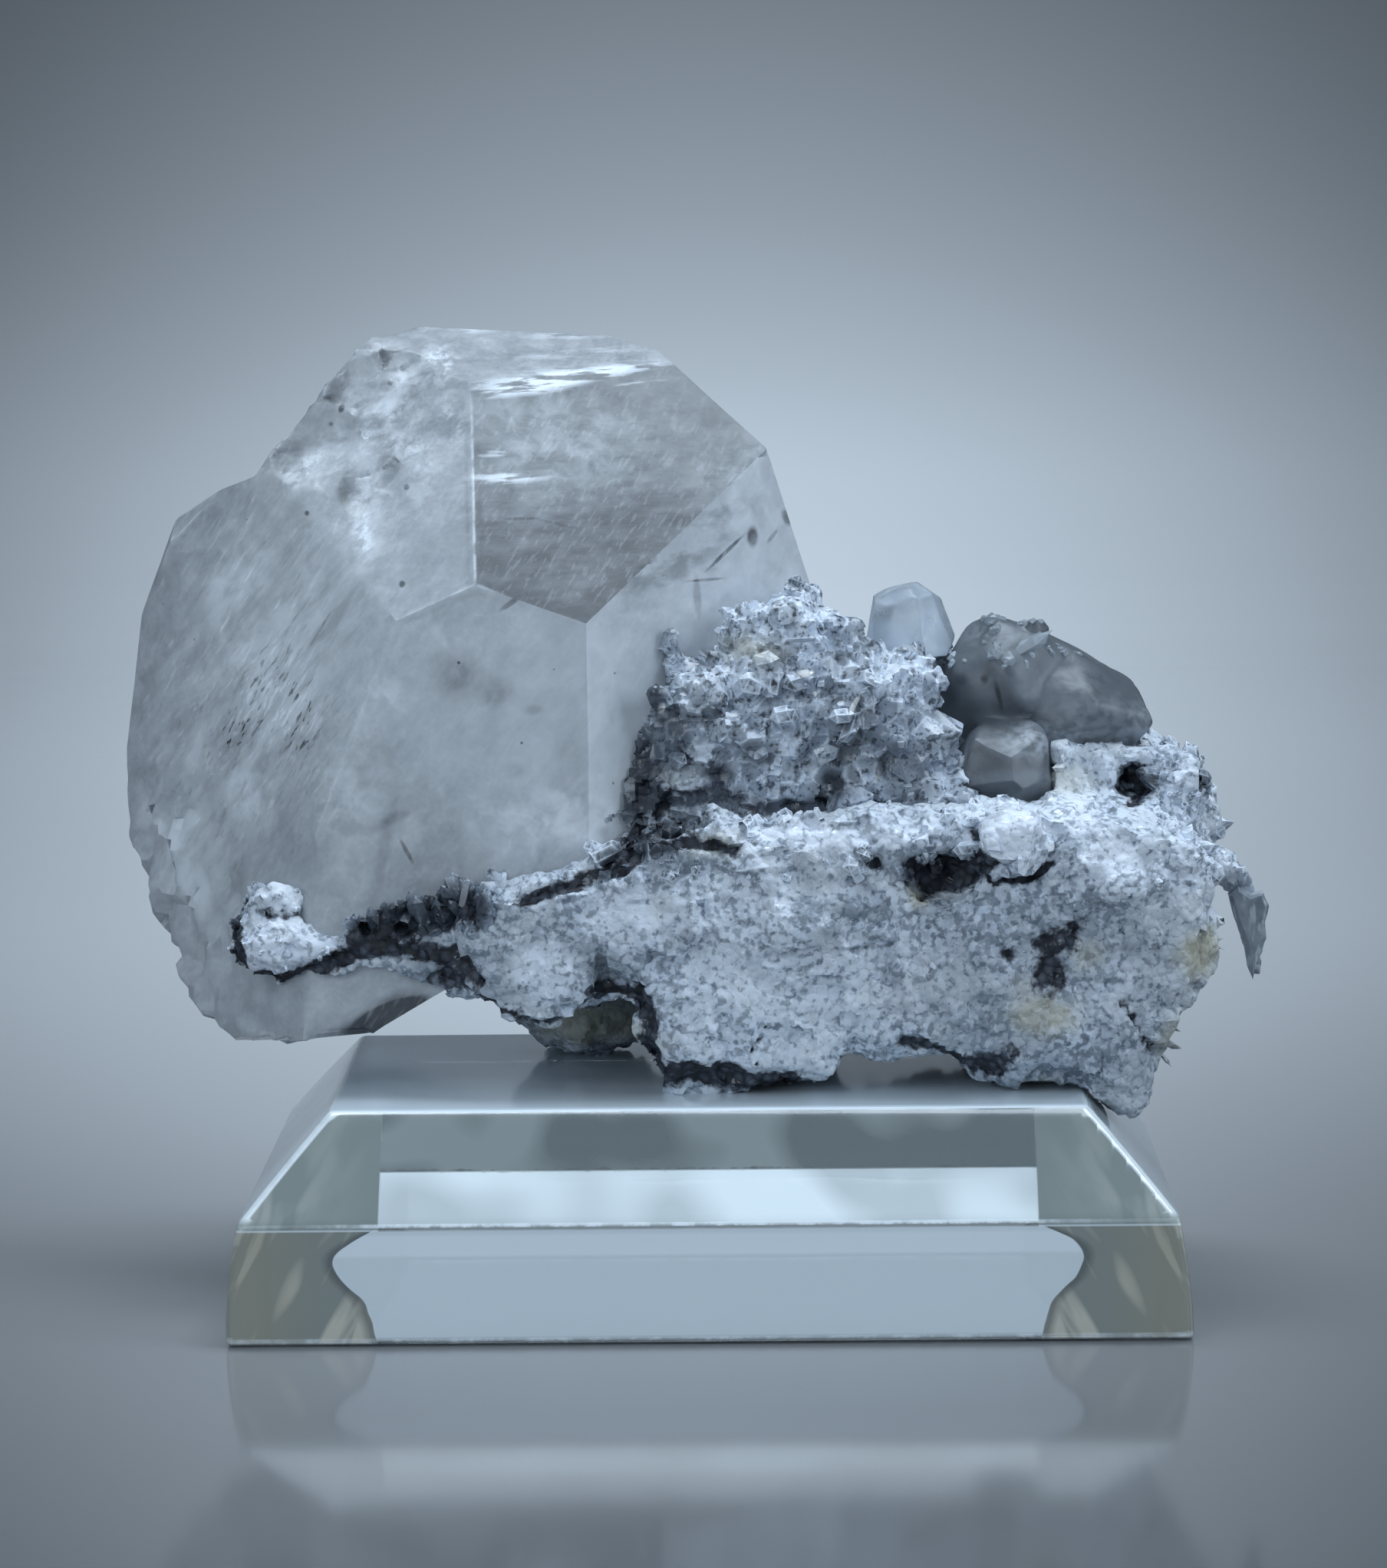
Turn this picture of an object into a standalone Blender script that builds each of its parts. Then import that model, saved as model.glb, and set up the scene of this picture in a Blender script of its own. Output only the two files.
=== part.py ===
"""Cabinet specimen: a large pale calcite crystal on a drusy quartz matrix, on a clear stand.

The viewer's side is -Y and the stand's underside is Z = 0. Lengths below are millimetres;
every mesh is written in metres. Crystals are solids bounded by flat faces, and each face is
given by its azimuth (0 faces the viewer, growing towards +X), its elevation and its distance
from the crystal's centre.
"""
import math
import random

import bmesh
import bpy
from mathutils import Matrix, Vector, noise

MM = 0.001
GAP = 0.3

# Stand: a block with an upright wall and a wide bevel up to its top face.
STAND_WIDTH = 101.6
STAND_DEPTH = 76.2
STAND_WALL = 12.7
STAND_BEVEL = 10.5
STAND_EDGE = 0.5
STAND_TOP = STAND_WALL + STAND_BEVEL

# Large crystal.
MAIN_CENTRE = (-22.0, 18.0, 66.0)
MAIN_FACES = (
    (-2.0, 6.0, 30.7),
    (14.0, 41.5, 28.9),
    (-20.5, 39.5, 29.7),
    (44.0, 4.5, 28.8),
    (-41.0, 18.0, 30.9),
    (-56.0, 3.0, 36.9),
    (-51.5, 7.0, 33.6),
    (7.0, 67.5, 34.3),
    (168.5, 73.0, 39.0),
    (95.5, 46.5, 37.5),
    (99.0, 18.5, 33.6),
    (89.5, 6.5, 34.7),
    (-73.0, 39.5, 38.4),
    (-82.0, 21.5, 41.0),
    (-106.0, -3.5, 42.1),
    (-107.0, -35.0, 44.2),
    (-97.0, -53.0, 47.1),
    (52.0, -83.5, 37.1),
    (83.0, -59.5, 26.0),
    (-116.5, 72.5, 40.1),
    (176.0, 42.0, 27.5),
    (170.0, 2.0, 21.5),
    (140.0, 34.0, 28.5),
    (138.0, -8.0, 25.0),
    (-150.0, 24.0, 27.0),
    (-134.0, 4.0, 30.0),
    (-152.0, -28.0, 31.0),
    (172.0, -40.0, 33.0),
)
# The upper left corner has broken away between these two planes.
MAIN_BREAK = (
    (-139.0, 70.5, 25.3),
    (-107.0, 32.5, 32.7),
)
BREAK_SIDE = (-20.5, 39.5)
# Shallow scars on the face beside the break: X, Z, radius of the bite's curve, depth.
BREAK_SCARS = (
    (-42.5, 93.0, 11.0, 1.5),
    (-38.0, 98.5, 9.0, 1.3),
    (-36.5, 88.0, 10.0, 1.1),
    (-33.0, 101.5, 8.0, 1.2),
    (-45.5, 90.5, 6.0, 1.0),
)

# Grey calcite on the right: three crystals grown together, with a small blade on top.
GREY_CRYSTALS = (
    ((32.0, 0.5, 65.6), (
        (-18.0, 8.0, 7.6), (40.0, 10.0, 7.4), (-62.0, -4.0, 6.9), (-30.0, -38.0, 6.6),
        (20.0, -40.0, 7.2), (-45.0, 42.0, 6.7), (15.0, 46.0, 7.4), (-90.0, 30.0, 6.2),
        (80.0, 62.0, 6.9), (-160.0, 70.0, 7.0), (150.0, 10.0, 8.0), (-140.0, 5.0, 7.4),
        (95.0, -20.0, 7.4), (0.0, -80.0, 7.4),
    )),
    ((40.4, 2.0, 63.4), (
        (-14.0, 16.0, 8.6), (36.0, 4.0, 9.0), (-4.0, 50.0, 7.0), (52.0, 46.0, 6.0),
        (92.0, 61.0, 5.2), (88.0, 26.0, 7.0), (92.0, -12.0, 8.6), (84.0, -44.0, 8.0),
        (20.0, -36.0, 8.3), (-40.0, -20.0, 8.8), (150.0, 30.0, 8.8), (-150.0, 20.0, 9.6),
        (170.0, -10.0, 9.0), (-70.0, 60.0, 8.0), (0.0, -85.0, 6.6), (120.0, 0.0, 8.6),
    )),
    ((32.6, -6.4, 57.2), (
        (-28.0, 12.0, 5.2), (34.0, 16.0, 5.3), (2.0, 58.0, 4.5), (-80.0, 20.0, 4.9),
        (84.0, 8.0, 5.0), (-20.0, -34.0, 5.4), (40.0, -40.0, 5.6), (-110.0, 40.0, 5.2),
        (110.0, 40.0, 5.4), (180.0, 20.0, 6.0), (180.0, -60.0, 5.0), (0.0, -88.0, 5.2),
    )),
    ((35.4, -1.6, 70.9), (
        (-14.0, 6.0, 1.5), (30.0, 2.0, 1.7), (-75.0, 38.0, 1.4), (-88.0, -30.0, 1.5),
        (84.0, -34.0, 1.5), (78.0, 52.0, 2.3), (180.0, 4.0, 1.7), (-120.0, 70.0, 1.7),
        (60.0, -76.0, 1.6),
    )),
)

# Small clear crystal standing on the crust.
SMALL_CENTRE = (22.4, 0.5, 72.4)
SMALL_FACES = (
    (-16.0, 4.0, 3.6),
    (42.0, 10.0, 3.7),
    (-84.0, 8.0, 4.3),
    (80.0, 20.0, 3.7),
    (-40.0, 52.0, 4.1),
    (30.0, 62.0, 4.4),
    (-70.0, 70.0, 4.1),
    (90.0, 52.0, 4.2),
    (165.0, 6.0, 4.0),
    (-135.0, 10.0, 4.1),
    (170.0, 55.0, 4.0),
    (0.0, -88.0, 3.6),
)

# Matrix: XZ outlines carried back through (Y, inset) layers.
SLAB_OUTLINE = (
    (-27.0, 46.0), (-18.0, 47.0), (-12.0, 49.5), (-6.0, 51.8), (4.0, 52.2), (15.0, 52.6),
    (23.0, 53.8), (38.0, 54.0), (45.0, 53.0), (52.0, 50.6), (54.4, 46.5), (53.8, 41.5),
    (53.0, 36.0), (50.4, 30.5), (48.2, 25.5), (45.6, 19.4), (43.2, 20.6), (40.0, 23.6),
    (35.0, 23.2), (28.5, 24.9), (25.5, 27.0), (20.0, 27.2), (14.2, 27.0), (12.6, 24.0),
    (2.0, 23.4), (-5.2, 24.0), (-6.6, 27.5), (-7.2, 35.0), (-10.5, 33.4), (-14.0, 31.6),
    (-20.5, 31.0), (-24.5, 33.2), (-28.0, 35.2),
)
SLAB_LAYERS = ((-20.8, 2.6), (-19.8, 0.9), (-17.5, 0.0), (-10.0, 0.0), (-5.0, 1.5))

CORE_OUTLINE = (
    (-25.0, 45.0), (-27.5, 38.0), (-24.0, 33.5), (-17.0, 32.0), (-8.0, 33.5), (-5.5, 26.5),
    (2.0, 23.4), (12.0, 24.4), (16.0, 28.0), (26.0, 27.5), (32.0, 24.2), (40.0, 23.4),
    (43.5, 24.5), (48.0, 29.5), (51.5, 36.0), (53.4, 43.0), (54.0, 48.0), (54.4, 53.0),
    (52.0, 57.0), (48.5, 59.6), (44.0, 60.0), (38.0, 62.0), (29.0, 60.0), (20.0, 58.0),
    (0.0, 57.0), (-14.0, 54.0),
)
CORE_LAYERS = ((-9.0, 2.5), (-6.0, 0.3), (6.0, 0.0), (16.0, 0.8), (23.0, 3.0), (27.0, 6.0))

# Crust of coarse quartz above the slab.
CRUST_OUTLINE = (
    (-12.0, 50.0), (-10.2, 57.0), (-9.6, 60.0), (-6.8, 63.0), (-5.0, 66.5), (-3.2, 69.6),
    (1.4, 67.6), (2.6, 71.6), (6.4, 74.4), (9.2, 76.2), (12.0, 74.4), (15.0, 72.0),
    (19.0, 69.4), (24.6, 69.6), (25.0, 64.6), (26.4, 61.0), (28.4, 58.0), (30.0, 50.0),
)
CRUST_LAYERS = (
    (-12.0, 3.8), (-10.4, 1.6), (-6.0, 0.7), (6.0, 0.6), (14.0, 1.8), (21.0, 4.2), (25.0, 7.5),
)
CRUST_FLOOR = 52.0
CRUST_RIGHT = 28.6
CRUST_FRONT = -14.2

# Lumps on the matrix: centre, then radii.
MATRIX_LUMPS = (
    ((8.0, -19.0, 42.0), (14.0, 3.5, 8.0)),
    ((0.0, -19.0, 32.0), (9.0, 3.4, 7.5)),
    ((32.8, -19.0, 50.4), (3.9, 3.4, 4.0)),
    ((44.0, -18.0, 46.0), (9.0, 4.2, 4.2)),
    ((38.0, -18.5, 30.0), (8.5, 3.6, 5.6)),
    ((22.0, -19.5, 31.5), (8.0, 3.0, 3.6)),
    ((51.6, -4.0, 55.4), (3.4, 7.0, 3.2)),
    ((51.6, 6.0, 50.0), (4.0, 9.0, 6.0)),
    ((54.6, -9.0, 46.6), (3.4, 3.6, 2.2)),
    ((53.6, -14.5, 39.4), (2.6, 2.4, 3.6)),
    ((50.8, -14.0, 33.6), (2.2, 2.2, 2.4)),
    ((-14.0, 12.0, 28.6), (8.2, 12.0, 4.6)),
    ((-15.0, 14.0, 25.0), (5.6, 7.0, 2.4)),
    ((38.0, 10.0, 26.0), (9.0, 12.0, 4.0)),
    ((6.0, 12.0, 27.0), (9.0, 12.0, 4.4)),
    ((20.0, 25.0, 42.0), (20.0, 5.0, 11.0)),
    ((30.0, 27.0, 52.0), (9.0, 3.5, 5.0)),
    ((44.0, 20.0, 40.0), (8.0, 7.0, 14.0)),
    ((2.0, 33.0, 37.0), (14.0, 6.0, 8.5)),
    ((-14.0, 36.5, 37.0), (11.0, 5.0, 6.0)),
    ((-27.0, 37.0, 40.0), (8.0, 4.4, 4.4)),
    ((12.0, 30.0, 46.0), (8.0, 6.0, 6.0)),
    ((17.0, -16.8, 52.2), (13.0, 3.2, 2.0)),
    ((2.0, -16.8, 51.4), (9.0, 3.0, 1.8)),
)
# Splinter hanging at the right end: base lump to tip (centre, radii).
SPLINTER = (
    ((56.4, -8.6, 45.0), (2.8, 1.6, 1.3)),
    ((58.4, -8.4, 42.6), (1.9, 1.3, 1.8)),
    ((59.0, -8.2, 39.8), (1.4, 1.1, 2.4)),
    ((59.5, -8.2, 37.0), (0.9, 0.9, 2.8)),
)
# Crusted rim that clings to the front of the large crystal: X, Z, radius X, radius Z, proud.
RIM_LUMPS = (
    (-50.0, 38.6, 3.0, 3.2, 1.7),
    (-46.8, 41.4, 4.6, 4.4, 2.1),
    (-43.0, 38.6, 4.8, 3.4, 2.2),
    (-38.6, 37.8, 4.8, 2.2, 2.3),
    (-33.4, 37.6, 5.2, 2.4, 2.5),
    (-28.4, 37.6, 4.8, 4.6, 3.2),
    (-36.6, 41.2, 4.2, 1.8, 1.9),
    (-31.6, 43.0, 4.6, 2.0, 2.3),
    (-26.6, 43.2, 4.2, 3.2, 3.0),
    (-44.6, 35.9, 6.0, 1.3, 1.5),
)
# Hollows in the matrix and under its ledge: centre, radii, turn about Y in degrees.
MATRIX_PITS = (
    ((25.6, -20.6, 46.6), (4.6, 4.0, 2.6), -20.0),
    ((43.6, -22.0, 38.2), (6.6, 3.0, 4.6), 15.0),
    ((46.6, -9.0, 55.6), (2.1, 7.0, 2.2), 0.0),
    ((-10.0, -21.4, 35.8), (4.4, 5.4, 1.9), 35.0),
    ((-8.0, -17.6, 50.0), (11.0, 3.2, 1.6), 28.0),
    ((22.0, -21.6, 26.0), (5.0, 3.6, 2.0), 0.0),
    ((39.0, -20.6, 24.4), (6.0, 3.0, 1.4), 20.0),
)

# Quartz crystals on the crust.
CRUST_CRYSTAL_COUNT = 150
CRUST_CRYSTAL_SEED = 11
CRUST_CRYSTAL_WIDTH = (1.0, 2.2)
CRUST_CRYSTAL_PROUD = (1.5, 3.6)
# Spike at the crust's left end: base point, direction, half width, length.
CRUST_SPIKES = (
    ((-3.4, -5.4, 68.6), (-0.1, -0.1, 1.0), 0.8, 4.4),
    ((9.6, 0.0, 74.0), (0.1, -0.1, 1.0), 1.7, 3.8),
    ((3.4, -2.0, 71.4), (-0.2, -0.2, 1.0), 1.5, 3.4),
    ((6.6, -10.4, 60.6), (0.0, -1.0, 0.1), 2.3, 2.6),
)

MATRIX_VOXEL = 1.15
CRUST_VOXEL = 0.5
MATRIX_TRIANGLES = 4300
CRUST_TRIANGLES = 6200
ROUGH_LUMP = 5.5
ROUGH_GRAIN = 2.2
ROUGH_BROAD = 12.0
ROUGH_BROAD_FROM = -8.0
ROUGH_BROAD_GAIN = 0.12


def direction(azimuth, elevation):
    """Unit vector of a face: azimuth 0 looks to the viewer at -Y."""
    turn = math.radians(azimuth)
    lift = math.radians(elevation)
    return Vector((math.sin(turn) * math.cos(lift), -math.cos(turn) * math.cos(lift), math.sin(lift)))


def faceted_solid(centre, faces, grow=0.0, reach=70.0):
    """Convex solid cut from a block by one plane for each face."""
    middle = Vector(centre)
    solid = bmesh.new()
    bmesh.ops.create_cube(solid, size=2.0 * reach, matrix=Matrix.Translation(middle))
    for azimuth, elevation, distance in faces:
        normal = direction(azimuth, elevation)
        parts = solid.verts[:] + solid.edges[:] + solid.faces[:]
        cut = bmesh.ops.bisect_plane(
            solid, geom=parts, dist=0.0001, plane_co=middle + normal * (distance + grow),
            plane_no=normal, clear_outer=True)
        rim = [item for item in cut["geom_cut"] if isinstance(item, bmesh.types.BMEdge)]
        if rim:
            bmesh.ops.edgeloop_fill(solid, edges=rim)
    return solid


def inset_outline(outline, inset):
    """Move each point of a closed outline inwards by about the inset."""
    count = len(outline)
    area = sum(outline[i][0] * outline[(i + 1) % count][1] - outline[(i + 1) % count][0] * outline[i][1]
               for i in range(count))
    side = 1.0 if area > 0.0 else -1.0
    moved = []
    for i, (x, z) in enumerate(outline):
        before = outline[i - 1]
        after = outline[(i + 1) % count]
        along = Vector((after[0] - before[0], after[1] - before[1])).normalized()
        moved.append((x - side * along.y * inset, z + side * along.x * inset))
    return moved


def loft(outline, layers):
    """Closed lump: an XZ outline carried through (Y, inset) layers."""
    solid = bmesh.new()
    rings = []
    for y, inset in layers:
        rings.append([solid.verts.new((x, y, z)) for x, z in inset_outline(outline, inset)])
    count = len(outline)
    for near, far in zip(rings, rings[1:]):
        for i in range(count):
            j = (i + 1) % count
            solid.faces.new((near[i], near[j], far[j], far[i]))
    solid.faces.new(rings[0])
    solid.faces.new(list(reversed(rings[-1])))
    bmesh.ops.recalc_face_normals(solid, faces=solid.faces[:])
    return solid


def ellipsoid(centre, radii, turn=0.0, fineness=3):
    """Lump with three radii, turned about Y."""
    place = Matrix.Translation(Vector(centre)) @ Matrix.Rotation(math.radians(turn), 4, "Y")
    solid = bmesh.new()
    bmesh.ops.create_icosphere(
        solid, subdivisions=fineness, radius=1.0, matrix=place @ Matrix.Diagonal((*radii, 1.0)))
    return solid


def quartz_crystal(base, axis, half_width, length, spin):
    """Six-sided prism with a pointed end, sunk by its own width at the root."""
    up = Vector(axis).normalized()
    place = Matrix.Translation(Vector(base)) @ up.to_track_quat("Z", "Y").to_matrix().to_4x4()
    place = place @ Matrix.Rotation(spin, 4, "Z")
    shoulder = max(length - 1.1 * half_width, 0.2 * length)
    solid = bmesh.new()
    rings = []
    for height in (-2.0 * half_width, shoulder):
        ring = []
        for i in range(6):
            turn = math.pi * i / 3.0
            ring.append(solid.verts.new((half_width * math.cos(turn), half_width * math.sin(turn), height)))
        rings.append(ring)
    tip = solid.verts.new((0.0, 0.0, length))
    for i in range(6):
        j = (i + 1) % 6
        solid.faces.new((rings[0][i], rings[0][j], rings[1][j], rings[1][i]))
        solid.faces.new((rings[1][i], rings[1][j], tip))
    solid.faces.new(list(reversed(rings[0])))
    bmesh.ops.transform(solid, matrix=place, verts=solid.verts[:])
    return solid


def make_object(name, solids, material=None):
    """One object in metres from solids in millimetres."""
    joined = bmesh.new()
    for solid in solids:
        bmesh.ops.recalc_face_normals(solid, faces=solid.faces[:])
        piece = bpy.data.meshes.new("piece")
        solid.to_mesh(piece)
        solid.free()
        joined.from_mesh(piece)
        bpy.data.meshes.remove(piece)
    bmesh.ops.scale(joined, vec=Vector((MM, MM, MM)), verts=joined.verts[:])
    mesh = bpy.data.meshes.new(name)
    joined.to_mesh(mesh)
    joined.free()
    made = bpy.data.objects.new(name, mesh)
    bpy.context.scene.collection.objects.link(made)
    if material:
        made.data.materials.append(material)
    return made


def settle(made):
    """Replace the mesh by what its modifiers make of it."""
    bpy.context.view_layer.update()
    view = bpy.context.evaluated_depsgraph_get()
    shaped = bpy.data.meshes.new_from_object(made.evaluated_get(view))
    made.modifiers.clear()
    made.data = shaped


def combine(made, tool, operation):
    """Cut the tool from the object, or join it on, and drop the tool."""
    change = made.modifiers.new("combine", "BOOLEAN")
    change.operation = operation
    change.solver = "EXACT"
    change.object = tool
    settle(made)
    bpy.data.objects.remove(tool)


def cut(made, solid):
    combine(made, make_object("cutter", [solid]), "DIFFERENCE")


def fuse(made, voxel):
    """Turn overlapping lumps into one skin."""
    change = made.modifiers.new("fuse", "REMESH")
    change.mode = "VOXEL"
    change.voxel_size = voxel * MM
    settle(made)


def thin_out(made, triangles):
    """Reduce the mesh to about this many triangles."""
    made.data.calc_loop_triangles()
    change = made.modifiers.new("thin", "DECIMATE")
    change.ratio = min(1.0, triangles / len(made.data.loop_triangles))
    settle(made)


def roughen(made, lump, grain):
    """Push the skin in and out: rounded lumps, larger towards the back, with a grain on them."""
    mesh = made.data
    normals = [vertex.normal.copy() for vertex in mesh.vertices]
    for vertex, normal in zip(mesh.vertices, normals):
        place = vertex.co / MM
        broad = max(0.0, place.y - ROUGH_BROAD_FROM) * ROUGH_BROAD_GAIN
        swell = noise.noise(place / ROUGH_LUMP) * lump + noise.noise(place / ROUGH_BROAD) * broad
        cell = noise.voronoi(place / ROUGH_GRAIN)[0][0]
        vertex.co += normal * (swell + (0.45 - cell) * grain) * MM


def keep_largest(made):
    """Drop crumbs that the cuts have parted from the body."""
    shape = bmesh.new()
    shape.from_mesh(made.data)
    bmesh.ops.remove_doubles(shape, verts=shape.verts[:], dist=0.000001)
    bmesh.ops.dissolve_degenerate(shape, edges=shape.edges[:], dist=0.000001)
    left = set(shape.verts)
    islands = []
    while left:
        start = left.pop()
        island = {start}
        front = [start]
        while front:
            vertex = front.pop()
            for edge in vertex.link_edges:
                other = edge.other_vert(vertex)
                if other in left:
                    left.remove(other)
                    island.add(other)
                    front.append(other)
        islands.append(island)
    islands.sort(key=len)
    for island in islands[:-1]:
        bmesh.ops.delete(shape, geom=list(island), context="VERTS")
    bmesh.ops.recalc_face_normals(shape, faces=shape.faces[:])
    shape.to_mesh(made.data)
    shape.free()


def principled(name, colour, roughness, transmission=0.0, ior=1.5):
    material = bpy.data.materials.new(name)
    material.use_nodes = True
    shader = material.node_tree.nodes["Principled BSDF"]
    shader.inputs["Base Color"].default_value = (*colour, 1.0)
    shader.inputs["Roughness"].default_value = roughness
    shader.inputs["Metallic"].default_value = 0.0
    shader.inputs["Transmission Weight"].default_value = transmission
    shader.inputs["IOR"].default_value = ior
    return material


def stand_solid(grow=0.0):
    """Upright wall, then a bevel on all four sides up to the flat top."""
    half_x = 0.5 * STAND_WIDTH + grow
    half_y = 0.5 * STAND_DEPTH + grow
    slope = grow * (math.sqrt(2.0) - 1.0)
    levels = (
        (0.0 - grow, 0.0),
        (STAND_WALL + slope, 0.0),
        (STAND_TOP + grow, STAND_BEVEL + grow - slope),
    )
    solid = bmesh.new()
    rings = []
    for z, inset in levels:
        x = half_x - inset
        y = half_y - inset
        rings.append([solid.verts.new(corner) for corner in ((-x, -y, z), (x, -y, z), (x, y, z), (-x, y, z))])
    for low, high in zip(rings, rings[1:]):
        for i in range(4):
            j = (i + 1) % 4
            solid.faces.new((low[i], low[j], high[j], high[i]))
    solid.faces.new(list(reversed(rings[0])))
    solid.faces.new(rings[-1])
    return solid


def make_stand():
    acrylic = principled("clear_acrylic", (0.86, 0.9, 0.9), 0.05, 0.95, 1.49)
    stand = make_object("acrylic_stand", [stand_solid()], acrylic)
    edges = stand.modifiers.new("polished_edges", "BEVEL")
    edges.width = STAND_EDGE * MM
    edges.segments = 2
    return stand


def make_main_crystal():
    calcite = principled("pale_calcite", (0.62, 0.68, 0.74), 0.3, 0.8, 1.58)
    crystal = make_object("large_calcite", [faceted_solid(MAIN_CENTRE, MAIN_FACES)], calcite)
    cut(crystal, break_wedge(0.0))
    for x, z, curve, depth in BREAK_SCARS:
        place = Vector((x, crystal_front(x, z), z)) + direction(*BREAK_SIDE) * (curve - depth)
        cut(crystal, ellipsoid(place, (curve, curve, curve)))
    keep_largest(crystal)
    return crystal


def break_wedge(grow):
    """The corner outside both break planes, as a solid to cut away."""
    faces = [(azimuth + 180.0, -elevation, -distance - grow) for azimuth, elevation, distance in MAIN_BREAK]
    return faceted_solid(MAIN_CENTRE, faces)


def crystal_front(x, z):
    """Y of the large crystal's viewer side at this X and Z."""
    nearest = -200.0
    for azimuth, elevation, distance in MAIN_FACES:
        normal = direction(azimuth, elevation)
        if normal.y < -0.05:
            rest = distance - normal.x * (x - MAIN_CENTRE[0]) - normal.z * (z - MAIN_CENTRE[2])
            nearest = max(nearest, MAIN_CENTRE[1] + rest / normal.y)
    return nearest


def make_grey_calcite():
    calcite = principled("grey_calcite", (0.3, 0.35, 0.4), 0.28, 0.6, 1.58)
    first, *others = GREY_CRYSTALS
    crystal = make_object("grey_calcite", [faceted_solid(*first, reach=20.0)], calcite)
    for centre, faces in others:
        combine(crystal, make_object("cutter", [faceted_solid(centre, faces, reach=20.0)]), "UNION")
    keep_largest(crystal)
    return crystal


def make_small_calcite():
    calcite = principled("clear_calcite", (0.62, 0.7, 0.77), 0.2, 0.8, 1.58)
    crystal = make_object("small_calcite", [faceted_solid(SMALL_CENTRE, SMALL_FACES, reach=20.0)], calcite)
    clear_of_grey(crystal)
    return crystal


def clear_of_grey(made):
    for centre, faces in GREY_CRYSTALS:
        cut(made, faceted_solid(centre, faces, GAP, reach=20.0))


def clear_of_crystals(made):
    """Leave room for the crystals that are set into this body."""
    cut(made, faceted_solid(MAIN_CENTRE, MAIN_FACES, GAP))
    clear_of_grey(made)
    cut(made, faceted_solid(SMALL_CENTRE, SMALL_FACES, GAP, reach=20.0))


def crust_box(grow=0.0):
    """Room above the slab that belongs to the crust."""
    width = CRUST_RIGHT + 60.0
    depth = 60.0 - CRUST_FRONT
    place = Matrix.Translation(Vector((
        CRUST_RIGHT + grow - 0.5 * width, CRUST_FRONT - grow + 0.5 * depth, CRUST_FLOOR - grow + 30.0)))
    box = bmesh.new()
    bmesh.ops.create_cube(box, size=1.0, matrix=place @ Matrix.Diagonal((width, depth, 60.0, 1.0)))
    return box


def make_matrix():
    quartz = principled("quartz_matrix", (0.42, 0.52, 0.64), 0.55)
    solids = [loft(SLAB_OUTLINE, SLAB_LAYERS), loft(CORE_OUTLINE, CORE_LAYERS)]
    solids += [ellipsoid(centre, radii) for centre, radii in MATRIX_LUMPS + SPLINTER]
    for x, z, radius_x, radius_z, proud in RIM_LUMPS:
        depth = proud + 2.0
        middle = (x, crystal_front(x, z) + depth - proud, z)
        solids.append(ellipsoid(middle, (radius_x, depth, radius_z)))
    matrix = make_object("quartz_matrix", solids, quartz)
    fuse(matrix, MATRIX_VOXEL)
    for centre, radii, turn in MATRIX_PITS:
        cut(matrix, ellipsoid(centre, radii, turn, 2))
    fuse(matrix, MATRIX_VOXEL)
    roughen(matrix, 1.1, 0.9)
    thin_out(matrix, MATRIX_TRIANGLES)
    cut(matrix, crust_box(GAP))
    clear_of_crystals(matrix)
    cut(matrix, stand_solid(GAP))
    keep_largest(matrix)
    return matrix


def make_crust():
    quartz = principled("quartz_crust", (0.22, 0.29, 0.38), 0.35)
    draw = random.Random(CRUST_CRYSTAL_SEED)
    core = make_object("crust_core", [loft(CRUST_OUTLINE, CRUST_LAYERS)])
    fuse(core, 1.0)
    roughen(core, 1.4, 0.6)
    faces = [face for face in core.data.polygons if face.center.z > CRUST_FLOOR * MM]
    solids = []
    for face in draw.sample(faces, CRUST_CRYSTAL_COUNT):
        lean = Vector((draw.uniform(-1.0, 1.0), draw.uniform(-1.0, 1.0), draw.uniform(-0.6, 1.0)))
        axis = face.normal + 0.55 * lean
        half_width = draw.uniform(*CRUST_CRYSTAL_WIDTH)
        proud = draw.uniform(*CRUST_CRYSTAL_PROUD)
        solids.append(quartz_crystal(face.center / MM, axis, half_width, proud, draw.uniform(0.0, math.pi)))
    for base, axis, half_width, length in CRUST_SPIKES:
        solids.append(quartz_crystal(base, axis, half_width, length, draw.uniform(0.0, math.pi)))
    body = bmesh.new()
    body.from_mesh(core.data)
    bmesh.ops.scale(body, vec=Vector((1.0 / MM, 1.0 / MM, 1.0 / MM)), verts=body.verts[:])
    bpy.data.objects.remove(core)
    crust = make_object("quartz_crust", [body] + solids, quartz)
    fuse(crust, CRUST_VOXEL)
    thin_out(crust, CRUST_TRIANGLES)
    combine(crust, make_object("cutter", [crust_box()]), "INTERSECT")
    clear_of_crystals(crust)
    keep_largest(crust)
    return crust


def main():
    for old in list(bpy.data.objects):
        bpy.data.objects.remove(old)
    make_stand()
    make_main_crystal()
    make_grey_calcite()
    make_small_calcite()
    make_matrix()
    make_crust()


main()
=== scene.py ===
"""Looks of the calcite specimen: frosted calcite crystals on sugary quartz, on a clear stand."""
import itertools
import math
import random

import bmesh
import bpy
import numpy as np
from mathutils import Matrix, Vector


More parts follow.
